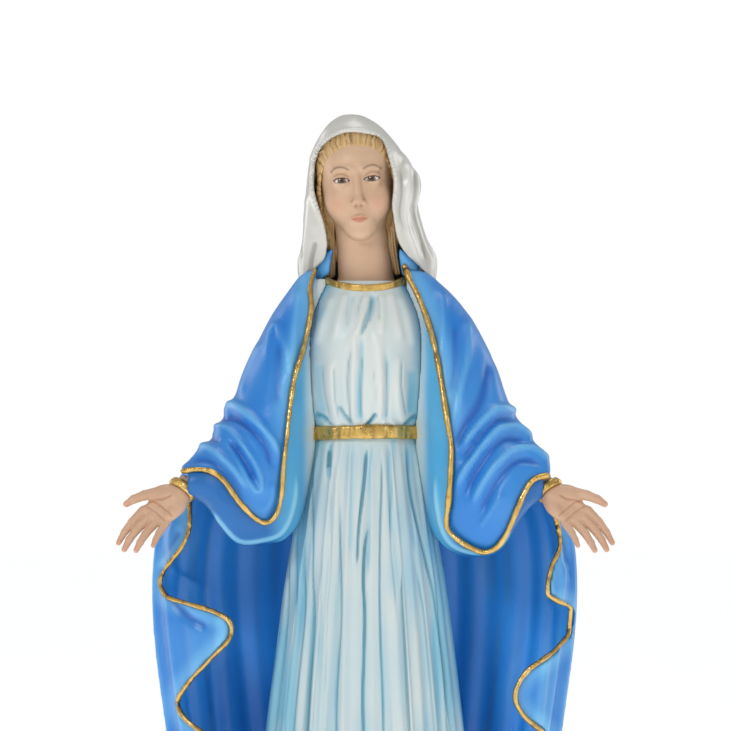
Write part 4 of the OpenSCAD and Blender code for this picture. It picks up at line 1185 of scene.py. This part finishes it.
# ---- head, in its own upright frame, then leaned to one side ----
LEAN = math.radians(4.2)
HEAD_X, LEAN_Z = -0.7, 254.0


def leaned(v):
    c, s = math.cos(LEAN), math.sin(LEAN)
    up = v[:, 2] - LEAN_Z
    w = ramp(up, -9, 0)
    x = HEAD_X + v[:, 0] * c - up * s * w
    z = LEAN_Z + up * c + v[:, 0] * s * w
    return np.column_stack([x, v[:, 1], z])


EYE_X, EYE_Y, EYE_Z, EYE_R = 4.45, -8.35, 279.7, 2.3


def lid_edges(x):
    """Upper and lower rim of the eye's opening over its middle, for places across from its middle."""
    t = np.clip(1 - (x / 2.3) ** 2, 0, 1)
    return 0.72 * t ** 0.8 + 0.05 * x, -0.62 * t ** 0.95


def face_field(g):
    f = ball(g, (0, 3.4, 284.4), (11.1, 12.8, 12.6))
    f = both(f, ball(g, (0, -0.2, 275.4), (10.0, 10.4, 11.8)), 3.0)
    f = both(f, ball(g, (0, -1.5, 285), (9.2, 8.6, 7)), 2.0)
    f = both(f, ball(g, (0, -5.8, 265.6), (4.6, 4.2, 3.7)), 2.8)
    for s in (1, -1):
        f = both(f, ball(g, (s * 5.0, -5.0, 273.4), (4.1, 4.4, 4.6)), 2.4)
        f = cut(f, ball(g, (s * 4.5, -12.2, 280.2), (3.1, 2.3, 2.1)), 1.6)
        f = both(f, rod(g, (s * 1.9, -10.1, 283.2), (s * 6.6, -8.3, 283.0), 0.75, 0.55), 1.8)
    f = both(f, ball(g, (0, -7.3, 268.2), (3.6, 3.3, 3.2)), 1.6)
    f = both(f, ball(g, (0, -8.3, 263.8), (2.6, 2.0, 1.9)), 1.8)
    nose = rod(g, (0, -9.4, 282.6), (0, -12.5, 273.8), 1.0, 1.1)
    nose = both(nose, ball(g, (0, -12.7, 273.3), (1.35, 1.35, 1.2)), 0.8)
    for s in (1, -1):
        nose = both(nose, ball(g, (s * 1.5, -11.3, 272.7), (1.0, 1.35, 0.95)), 0.6)
    f = both(f, nose, 1.0)
    for s in (1, -1):
        f = cut(f, ball(g, (s * 0.8, -12.3, 271.75), (0.42, 0.55, 0.42)), 0.3)
        lid = ball(g, (s * EYE_X, EYE_Y, EYE_Z), (2.72,) * 3)
        f = both(f, lid, 0.55)
        hi, lo = lid_edges(g.x - s * EYE_X)
        z = g.z - EYE_Z
        window = np.maximum(np.maximum(z - hi, lo - z), g.y + 8.4)
        window = np.maximum(window, np.abs(g.x - s * EYE_X) - 2.3)
        f = np.maximum(f, -window)
    for s in (1, -1):
        lips = rod(g, (s * 2.3, -9.9, 268.3), (s * 0.6, -10.6, 268.75), 0.4, 0.55)
        f = both(f, lips, 0.35)
        f = both(f, rod(g, (s * 1.6, -10.1, 267.5), (0, -10.5, 267.3), 0.45, 0.6), 0.5)
    f = both(f, rod(g, (-0.5, -10.55, 268.65), (0.5, -10.55, 268.65), 0.5, 0.5), 0.4)
    for s in (1, -1):
        f = cut(f, rod(g, (s * 2.4, -10.2, 268.12), (0, -11.25, 268.05), 0.14, 0.18), 0.25)
    neck = rod(g, (0.8, 4.6, 240), (0.2, 3.0, 266), 8.3, 7.6)
    neck = both(neck, ball(g, (0.8, 4.8, 244), (12.5, 7.6, 5.5)), 4.0)
    return both(f, neck, 1.6)


def face_tones(v):
    x, z = v[:, 0], v[:, 2]
    ax = np.abs(x)
    front = v[:, 1] < -6
    t = np.clip(1 - (ax / 2.7) ** 1.6, 0, 1)
    top = 268.12 + (0.92 - 0.25 * np.exp(-(x / 0.5) ** 2)) * t
    low = 268.12 - 1.3 * np.clip(1 - (ax / 2.4) ** 2, 0, 1)
    lips = ramp(top - z, -0.12, 0.25) * ramp(z - low, -0.12, 0.25) * (ax < 2.7)
    blush = 0.3 * np.exp(-((ax - 5.8) / 2.5) ** 2 - ((z - 272.6) / 2.6) ** 2)
    blush += 0.12 * np.exp(-(x / 1.6) ** 2 - ((z - 273) / 1.5) ** 2)
    shade = 0.35 * ramp(262.5 - z, 0, 3) * (v[:, 1] > -9) * (z > 255)
    shade = shade + 0.7 * (1 - ramp(near_line(ax, z, [(0, 268.12), (2.35, 268.1)]), 0.08, 0.3))
    # painted shade in the nostrils
    nostril_shade = 0.75 * np.exp(-((ax - 0.8) / 0.4) ** 2 - ((z - 271.8) / 0.35) ** 2)
    ex = np.where(x > 0, x - EYE_X, -(x + EYE_X))
    hi, lo = lid_edges(ex)
    inside = np.abs(ex) < 2.5
    lash = (1 - ramp(np.abs(z - EYE_Z - hi - 0.12), 0.12, 0.34)) * inside
    under = 0.35 * (1 - ramp(np.abs(z - EYE_Z - lo + 0.08), 0.08, 0.25)) * inside
    # painted shade in the crease over each eye
    lid_crease_shade = 0.4 * (1 - ramp(np.abs(z - EYE_Z - hi * 1.5 - 1.0), 0.1, 0.45)) * ramp(2.7 - np.abs(ex), 0, 0.8)
    arch = curve([(2.2, 282.9), (3.8, 283.7), (5.6, 283.8), (7.3, 282.7)], 20)
    brow = 0.5 * (1 - ramp(near_line(ax, z, arch), 0.14, 0.46))
    red = np.clip(lips * 0.75 + blush, 0, 1)
    green = np.clip(shade + nostril_shade + lid_crease_shade, 0, 0.85)
    blue = np.clip(np.maximum(np.maximum(lash, under), brow), 0, 1)
    return np.stack([red, green, blue], axis=1) * front[:, None]


def head():
    g = Grid((-13, -15.5, 241), (13.5, 17, 298), 0.25)
    v, q = net(g, face_field(g))
    v = soften(v, q, 1, 0.4)
    tone = face_tones(v)
    # painted shade under the jaw and on the sides of the neck
    jaw_shade = np.clip((262.8 - v[:, 2]) / 3, 0, 1) * ramp(v[:, 1], -9.6, -7)
    side = ramp(np.abs(v[:, 0]), 5.2, 7.6) * ramp(263 - v[:, 2], 0, 4)
    tone[:, 1] = np.clip(tone[:, 1] + 0.14 * jaw_shade + 0.35 * side, 0, 0.85)
    build("head_flesh", leaned(v), q, "head", SKIN, tone)
    for s in (1, -1):
        eyeball(s)


def eyeball(side):
    """Painted eye whose rings run round its line of sight."""
    look = unit((-0.05 * side, -1.0, -0.10))
    u = unit(np.cross(look, (0, 0, 1.0)))
    w = np.cross(u, look)
    angles = np.radians([0.4, 3, 6, 9, 12, 14, 16, 17, 18, 22, 26, 29, 31, 32.5, 34, 40, 48, 60, 75, 95,
                         120, 150, 179])
    t = around(48)
    mid = np.array([side * EYE_X, EYE_Y, EYE_Z])
    turn = np.outer(np.cos(t), u) + np.outer(np.sin(t), w)
    v, q = loft([mid + EYE_R * (math.cos(a) * look + math.sin(a) * turn) for a in angles])
    deg = np.degrees(np.concatenate([np.repeat(angles, 48), [0, math.pi]]))
    iris = 1 - ramp(deg, 31, 33)
    pupil = 1 - ramp(deg, 15.5, 17.5)
    limbus = np.exp(-((deg - 30.5) / 2.6) ** 2) * 0.7
    tone = np.stack([iris, np.clip(pupil + limbus, 0, 1), 0 * deg], axis=1)
    build("eye_enamel_" + SIDE[side], leaned(v), q, "eye_" + SIDE[side], EYE, tone)


head()


def hair():
    g = Grid((-15.5, -12, 247), (16, 17.5, 299.5), 0.28)
    f = ball(g, (0, 3.2, 284.0), (11.7, 13.6, 12.9))
    f = both(f, ball(g, (0, 0.5, 277), (11.2, 11.4, 12)), 2.5)
    for s in (1, -1):
        f = both(f, rod(g, (s * 9.9, 0.2, 277), (s * 10.1, 2.0, 267), 1.8, 2.0), 2.0)
        f = both(f, rod(g, (s * 10.1, 2.0, 267), (s * 8.6, 3.4, 259.5), 2.0, 1.8), 1.5)
        f = both(f, rod(g, (s * 8.6, 3.4, 259.5), (s * 9.8, 4.6, 252), 1.8, 1.2), 1.2)
    tall = 9 * (((np.abs(g.x) / 10.6) ** 2.5 + (np.abs(g.z - 275.4) / 14.2) ** 2.5) ** 0.4 - 1) + 0 * g.y
    f = cut(f, np.maximum(tall, g.y - 1.0), 0.9)
    f = np.maximum(f, -(oval_field(g.x, g.z - 266, np.float32(7.4), np.float32(20)) + 0 * g.y))
    f = np.maximum(f, g.y - 9)
    v, q = net(g, f)
    v = soften(v, q, 2)
    n = normals(v, q)
    x, z = v[:, 0], v[:, 2]
    psi = np.arctan2(x / 9.6, (z - 275.2) / 14.2)
    out = np.sqrt((x / 9.6) ** 2 + ((z - 275.2) / 14.2) ** 2)
    low = ramp(272 - z, 0, 8)
    swirl = psi * 15 + 1.1 * noise(v, 3.4, 61) + 0.5 * noise(v, 1.6, 63) + 1.2 * (out - 1) * np.sin(3 * psi)
    lock = (np.abs(x) - 9.0) * 3.2 + 0.2 * (z - 262) + 0.9 * noise(v, 4, 62)
    wave_a = 0.5 * np.cos(swirl * 3.1) + 0.3 * np.cos(swirl * 5.3 + 1.3) + 0.3 * np.cos(swirl * 8.9 + 0.4)
    wave_b = np.cos(lock * 2.2) * 0.6 + 0.4 * np.cos(lock * 4.7 + 1)
    wave = wave_a * (1 - low) * ramp(out, 1.0, 1.16) + wave_b * low
    part = np.exp(-((x + 0.6) / 0.35) ** 2) * ramp(z, 288, 290) * ramp(out, 1.02, 1.06)
    rel = 0.17 * wave * (1 + 0.4 * low) - 0.4 * part
    front = ramp(-n[:, 1], -0.5, 0.1)
    v = v + n * (rel * front)[:, None]
    # painted shade in the grooves between strands, in the parting, towards the veil and on the low locks;
    # painted highlights on the strands' crests, and lighter near the hairline
    shade = 0.6 * ramp(-wave, 0.25, 1.0) + 0.6 * part + 0.3 * ramp(out, 1.2, 1.45) * (1 - low) + 0.15 * low
    light = 0.45 + 0.55 * ramp(wave, -0.2, 0.8) + 0.3 * (1 - ramp(out, 1.0, 1.12))
    build("hair_locks", leaned(v), q, "hair", HAIR, np.stack([light, shade, 0 * light], axis=1))


hair()


# ---- hands and cuffs, in the frame of the wrist ----
WRIST = np.array([53.5, -21.0, 187.0])


FINGER_AXIS = unit((0.66, -0.34, -0.67))
THUMB_AXIS = unit(np.cross((0.05, -0.92, 0.4), FINGER_AXIS))
PALM_AXIS = np.cross(FINGER_AXIS, THUMB_AXIS)
# Knuckle, joints and tip of each finger, with the radius at each
FINGERS = [
    [(3.6, 3.4, 0.3, 2.0), (8.4, 6.5, 1.3, 1.5), (11.6, 7.9, 1.6, 1.3), (14.2, 8.6, 1.3, 0.95)],
    [(12, 3.9, 0, 1.45), (17.0, 3.7, 0.5, 1.2), (21.0, 3.1, 0.5, 1.05), (24.6, 2.2, -0.1, 0.8)],
    [(12.6, 1.25, 0.1, 1.5), (18.2, 0.9, 0.7, 1.25), (22.0, 0.3, 0.7, 1.1), (25.2, -0.6, 0.2, 0.85)],
    [(12.2, -1.4, 0.1, 1.4), (17.4, -2.0, 0.9, 1.2), (20.8, -2.8, 1.1, 1.05), (23.4, -3.6, 0.9, 0.8)],
    [(11, -3.8, 0.1, 1.25), (14.6, -4.7, 0.9, 1.05), (17.2, -5.6, 1.3, 0.9), (19.2, -6.4, 1.3, 0.7)],
]


# Creases of the palm, in the frame of the wrist, with their depth
PALM_CREASES = [([(4.0, 0.4), (6.4, 1.6), (9.6, 4.4)], -0.35), ([(9.0, 4.6), (8.0, 1.0),
                (8.4, -4.0)], -0.28),
                ([(10.8, 3.6), (10.4, 0.0), (10.8, -3.6)], -0.26),
                ([(0.2, 3.0), (0.4, 0), (0.2, -3.0)], -0.25)]


def from_wrist(v, side):
    w = WRIST + np.outer(v[:, 0], FINGER_AXIS) + np.outer(v[:, 1], THUMB_AXIS) + np.outer(v[:, 2], PALM_AXIS)
    w[:, 0] *= side
    return w


def hand(side):
    g = Grid((-4, -8.5, -4.2), (28, 11, 4.6), 0.26)
    f = rod(g, (-3, 0, 0), (3, 0, 0), 3.0, 3.0)
    f = both(f, rod(g, (2, 2.0, 0), (11.6, 3.1, 0), 2.2, 1.6), 1.6)
    f = both(f, rod(g, (2, -2.0, 0), (11, -3.2, 0), 2.2, 1.5), 1.6)
    f = both(f, rod(g, (4, 0, 0), (12, 0, 0), 2.1, 1.6), 1.6)
    f = both(f, ball(g, (5.2, 3.4, 0.9), (3.6, 2.4, 1.9)), 1.2)
    f = both(f, ball(g, (5.6, -3.4, 0.7), (3.8, 1.9, 1.6)), 1.2)
    f = cut(f, ball(g, (8.6, -0.2, 3.1), (3.4, 2.4, 1.4)), 1.2)
    for joints in FINGERS:
        chain = None
        for a, b in zip(joints[:-1], joints[1:]):
            part = rod(g, a[:3], b[:3], a[3], b[3])
            chain = part if chain is None else both(chain, part, 0.35)
        f = both(f, chain, 0.55)
    v, q = net(g, f)
    v = soften(v, q, 2)
    n = normals(v, q)
    palm = ramp(n[:, 2], 0.2, 0.8)
    rel = np.zeros(len(v))
    for line, depth in PALM_CREASES:
        d = near_line(v[:, 0], v[:, 1], curve(line, 20))
        rel += depth * np.exp(-(d / 0.35) ** 2) * palm
    for joints in FINGERS:
        for j in joints[1:-1]:
            d = np.linalg.norm(v - (np.array(j[:3]) + (0, 0, j[3])), axis=1)
            rel -= 0.12 * np.exp(-(d / 0.5) ** 2)
    v = v + n * rel[:, None]
    tips = sum(np.exp(-(np.linalg.norm(v - np.array(j[-1][:3]), axis=1) / 2.2) ** 2) for j in FINGERS)
    # painted shade in the creases of the palm and at the finger joints
    between = ramp(-rel, 0.05, 0.3)
    tone = np.stack([0.22 * np.clip(tips, 0, 1) + 0.12 * palm, 0.45 * between, 0 * rel], axis=1)
    build("hand_flesh_" + SIDE[side], from_wrist(v, side), q[:, ::side], "hand_" + SIDE[side], SKIN, tone)


def cuff(side):
    t, p = around(120), around(22)
    mid = np.stack([-0.7 + 0.25 * np.sin(2 * t), 3.9 * np.cos(t), 3.5 * np.sin(t)], axis=1)
    out = np.stack([0 * t, np.cos(t), np.sin(t)], axis=1)
    lumps = noise(mid, 1.5, 71 + side)
    rings = []
    for i in range(len(t)):
        c, s = np.cos(p), np.sin(p)
        roll = 0.18 * np.abs(np.sin(1.5 * p + 0.6 * np.sin(3 * t[i])))
        depth = (0.6 + 0.1 * lumps[i] + roll) * c
        rings.append(mid[i] + np.outer(depth, out[i]) + np.outer((1.35 + 0.1 * lumps[i]) * s, (1.0, 0, 0)))
    v, q = hoop(rings)
    build("cuff_gilt_" + SIDE[side], from_wrist(v, side), q[:, ::side], "cuff_" + SIDE[side], GOLD)


for s in (1, -1):
    hand(s)
    cuff(s)


# ---- feet, globe, serpent and plinth ----
def above_globe(x, y, lift):
    """Height of a place lifted off the globe."""
    return math.sqrt(GLOBE_R ** 2 - x * x - y * y) + GLOBE_Z + lift


def foot(side):
    g = Grid((2, -34, 8), (15, -8, 36), 0.3)
    f = None
    spots = [(7.4, -13, 2.6, 3.4), (8.0, -20, 2.2, 3.2), (8.4, -24.4, 1.6, 2.7)]
    for a, b in zip(spots[:-1], spots[1:]):
        part = rod(g, (*a[:2], above_globe(*a[:3])), (*b[:2], above_globe(*b[:3])), a[3], b[3])
        f = part if f is None else both(f, part, 1.0)
    toes = [(5.7, -28.2, 1.35), (7.7, -28.3, 1.05), (9.3, -27.7, 0.98), (10.7, -26.8, 0.92),
            (11.9, -25.6, 0.85)]
    for x, y, r in toes:
        a = (8.3 + (x - 8.3) * 0.75, y + 4.2)
        f = both(f, rod(g, (*a, above_globe(*a, 1.4)),
        (x, y, above_globe(x, y, r + 0.1)), r * 1.05, r), 0.4)
        f = both(f, ball(g, (x, y, above_globe(x, y, r + 0.1)), (r * 1.08,) * 3), 0.3)
    f = np.maximum(f, -(np.sqrt(g.x ** 2 + g.y ** 2 + (g.z - GLOBE_Z) ** 2) - GLOBE_R - 0.1))
    v, q = net(g, f)
    v = soften(v, q, 2)
    tips = sum(np.exp(-(((v[:, 0] - x) ** 2 + (v[:, 1] - y) ** 2) / 1.6)) for x, y, r in toes)
    # painted shade on the foot below a height of 14.5
    tone = np.stack([0.3 * np.clip(tips, 0, 1), 0.3 * ramp(14.5 - v[:, 2], 0, 3), 0 * tips], axis=1)
    v[:, 0] *= side
    build("foot_flesh_" + SIDE[side], v, q[:, ::side], "foot_" + SIDE[side], SKIN, tone)


foot(1)
foot(-1)


def globe():
    angles = np.linspace(0.002, math.acos((PLINTH_TOP - GLOBE_Z) / GLOBE_R), 70)
    t = around(180)
    rings = [np.stack([GLOBE_R * math.sin(a) * np.cos(t), GLOBE_R * math.sin(a) * np.sin(t),
                       np.full(180, GLOBE_Z + GLOBE_R * math.cos(a))], axis=1) for a in angles[::-1]]
    v, q = loft(rings)
    n = v - (0, 0, GLOBE_Z)
    v = v + n / GLOBE_R * (0.07 * noise(v, 5, 81))[:, None]
    build("globe_painted", v, q, "globe", GLOBE)


def serpent():
    r0 = 2.6
    lift = PLINTH_TOP + r0
    ring = math.sqrt((GLOBE_R + r0 + 0.15) ** 2 - (lift - GLOBE_Z) ** 2)
    u = np.linspace(0, 1, 260)
    a = np.radians(216 + 104 * u)
    r = ring + 0.45 * (1 - np.cos(np.radians(1800 * u)))
    path = np.stack([r * np.cos(a), r * np.sin(a), lift + 0.1 + 125 * np.clip(u - 0.8, 0, 1) ** 2], axis=1)
    body = np.minimum(1, 0.22 + 1.7 * u)
    snout = 0.8 + 0.52 * np.sin(np.pi * np.clip((u - 0.86) / 0.15, 0, 1)) - 2.6 * np.clip(u - 0.95, 0, 1) * 2
    rad = r0 * np.where(u < 0.86, body, np.minimum(body, 10) * snout)
    for _ in range(5):
        rad[1:-1] = (rad[:-2] + 2 * rad[1:-1] + rad[2:]) / 4
    v, q = tube(path, rad, 32)
    along = np.concatenate([np.repeat(u, 32), [0, 1]])
    turn = np.concatenate([np.tile(np.arange(32) / 32 * 2 * np.pi, 260), [0, 0]])
    scale = np.cos(along * 420 + 1.6 * np.cos(turn * 8)) * 0.5 + 0.5
    n = v - np.vstack([np.repeat(path, 32, axis=0), path[:1], path[-1:]])
    v = v + n * (0.035 * scale * (along < 0.86))[:, None]
    saddle = 0.8 * ramp(np.cos(along * 95), 0.1, 0.7) * ramp(n[:, 2], -0.5, 1.2)
    parts_v, parts_q, parts_t = [v], [q], [np.stack([scale, saddle + 0.3 * (1 - scale), 0 * scale], axis=1)]
    heading = unit(path[-1] - path[-14])
    flank = unit(np.cross(heading, (0, 0, 1)))
    for s in (1, -1):
        c = path[-20] + s * flank * 1.9 + np.array([0, 0, 1.5])
        t = around(14)
        flat = np.stack([np.cos(t), np.sin(t), 0 * t], axis=1)
        ev, eq = loft([c + 0.55 * (math.cos(b) * np.array([0, 0, 1.0]) + math.sin(b) * flat)
                       for b in np.linspace(3.0, 0.14, 9)])
        eq = np.where(eq >= 0, eq + sum(len(p) for p in parts_v), -1)
        parts_v.append(ev)
        parts_q.append(eq)
        parts_t.append(np.tile((0, 1.0, 0), (len(ev), 1)))
    build("serpent_painted", np.vstack(parts_v), np.vstack(parts_q), "serpent", SCALES, np.vstack(parts_t))


def lathe(profile):
    """Closed outline of radius and height turned about the middle."""
    p = np.array(profile, dtype=np.float64)
    return hoop([np.column_stack([p[:, 0] * math.cos(a), p[:, 0] * math.sin(a), p[:, 1]])
                 for a in around(200)])


def arc(cx, cz, r, start, end, n=8):
    t = np.radians(np.linspace(start, end, n))
    return [(cx + r * math.cos(a), cz + r * math.sin(a)) for a in t]


def plinth():
    outline = [(2.2, 9.3), (8.0, 9.3), (8.0, 1.0), (20, 1.0), (36, 1.0)]
    outline += arc(44.9, 3.05, 2.05, -90, 90, 12)
    outline += arc(43.7, 7.5, 2.35, 90, 270, 14)
    outline += arc(41.4, 11.4, 1.6, -90, 90, 12)
    outline += [(34, PLINTH_TOP), (20, PLINTH_TOP), (2.2, PLINTH_TOP)]
    v, q = lathe(outline)
    rim = np.hypot(v[:, 0], v[:, 1])
    n = v * (1, 1, 0) / np.maximum(rim, 1e-6)[:, None]
    v = v + n * (0.10 * noise(v, 3.5, 91) * (rim > 36))[:, None]
    # darker in the cove of the moulding
    darkening = ramp(np.abs(v[:, 2] - 7.4), 2.6, 0.4) * (rim > 36)
    build("plinth_painted", v, q, "plinth", STONE, only(0.75 * darkening))


def felt():
    outline = [(9.0, 0.0), (20, 0.0), (34, 0.0)]
    outline += arc(45.6, 0.35, 0.35, -90, 0, 4) + arc(45.6, 0.6, 0.35, 0, 90, 4)
    outline += [(34, 0.98), (20, 0.98), (9.0, 0.98)]
    v, q = lathe(outline)
    rim = np.hypot(v[:, 0], v[:, 1])
    v[:, 2] = np.where((v[:, 2] > 0.2) & (rim > 40), v[:, 2] - 0.02 + 0.02 * noise(v, 0.8, 95), v[:, 2])
    build("felt_cloth", v, q, "felt_pad", FELT)


globe()
serpent()
plinth()
felt()


# ---- steel and wood inside keep their CAD shapes ----
for node, paint in (("armature_rod", STEEL), ("armature_nut", STEEL), ("armature_washer", STEEL),
                    ("wrist_pin_right", STEEL), ("wrist_pin_left", STEEL), ("neck_dowel", WOOD)):
    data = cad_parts[node].data
    data.materials.clear()
    data.materials.append(paint)

# ---- floor, light and camera ----
floor_mesh = bpy.data.meshes.new("floor")
FLOOR = 6.0
floor_mesh.from_pydata([(FLOOR * x, FLOOR * y, 0) for x, y in ((-1, -1), (1, -1), (1, 1), (-1, 1))], [],
                       [(0, 1, 2, 3)])
floor = bpy.data.objects.new("floor", floor_mesh)
bpy.context.scene.collection.objects.link(floor)
pale, pale_tree, pale_shader = material("floor_pale")
pale_colour = mix(pale_tree, speckle(pale_tree, coords(pale_tree), 6, 2), (0.93,) * 3, (0.95,) * 3)
link(pale_tree, pale_colour, pale_shader.inputs["Base Color"])
settle(pale_shader, Roughness=0.8, Emission_Color=(1, 1, 1, 1), Emission_Strength=0.62)
floor.data.materials.append(pale)


def lamp(name, place, aim, size, watts, colour=(1, 1, 1)):
    data = bpy.data.lights.new(name, "AREA")
    data.shape = "RECTANGLE"
    data.size, data.size_y = size
    data.energy = watts
    data.color = colour
    ob = bpy.data.objects.new(name, data)
    ob.location = place
    ob.rotation_euler = (Vector(aim) - Vector(place)).to_track_quat("-Z", "Y").to_euler()
    bpy.context.scene.collection.objects.link(ob)


MIDDLE = (0, 0, 0.2)
lamp("key", (-0.75, -1.35, 0.95), MIDDLE, (0.42, 0.42), 7.6)
lamp("fill", (1.15, -1.1, 0.55), MIDDLE, (0.7, 0.9), 2.6)
lamp("crown", (0.1, 0.15, 1.35), MIDDLE, (0.6, 0.6), 3)
lamp("rim_left", (-0.9, 0.75, 0.5), MIDDLE, (0.3, 0.8), 2)
lamp("rim_right", (0.9, 0.75, 0.5), MIDDLE, (0.3, 0.8), 2)

world = bpy.data.worlds.new("studio")
world.use_nodes = True
sky = world.node_tree
backdrop = sky.nodes.new("ShaderNodeBackground")
backdrop.inputs[1].default_value = 1.0
surround = sky.nodes["Background"]
surround.inputs[0].default_value = (0.97, 0.985, 1.0, 1)
surround.inputs[1].default_value = 0.40
seen = sky.nodes.new("ShaderNodeLightPath")
blend = sky.nodes.new("ShaderNodeMixShader")
backdrop.inputs[0].default_value = (1, 1, 1, 1)
sky.links.new(seen.outputs["Is Camera Ray"], blend.inputs[0])
sky.links.new(surround.outputs[0], blend.inputs[1])
sky.links.new(backdrop.outputs[0], blend.inputs[2])
sky.links.new(blend.outputs[0], sky.nodes["World Output"].inputs[0])
bpy.context.scene.world = world
bpy.context.scene.view_settings.view_transform = "Standard"

camera_data = bpy.data.cameras.new("camera")
camera = bpy.data.objects.new("camera", camera_data)
VIEW_WIDTH = 0.2193
VIEW_MIDDLE = 0.22425
DISTANCE = 2.0
camera.location = (0, -DISTANCE, VIEW_MIDDLE)
camera.rotation_euler = (math.pi / 2, 0, 0)
camera_data.sensor_width = 36.0
camera_data.lens = 36.0 * DISTANCE / VIEW_WIDTH
bpy.context.scene.collection.objects.link(camera)
bpy.context.scene.camera = camera
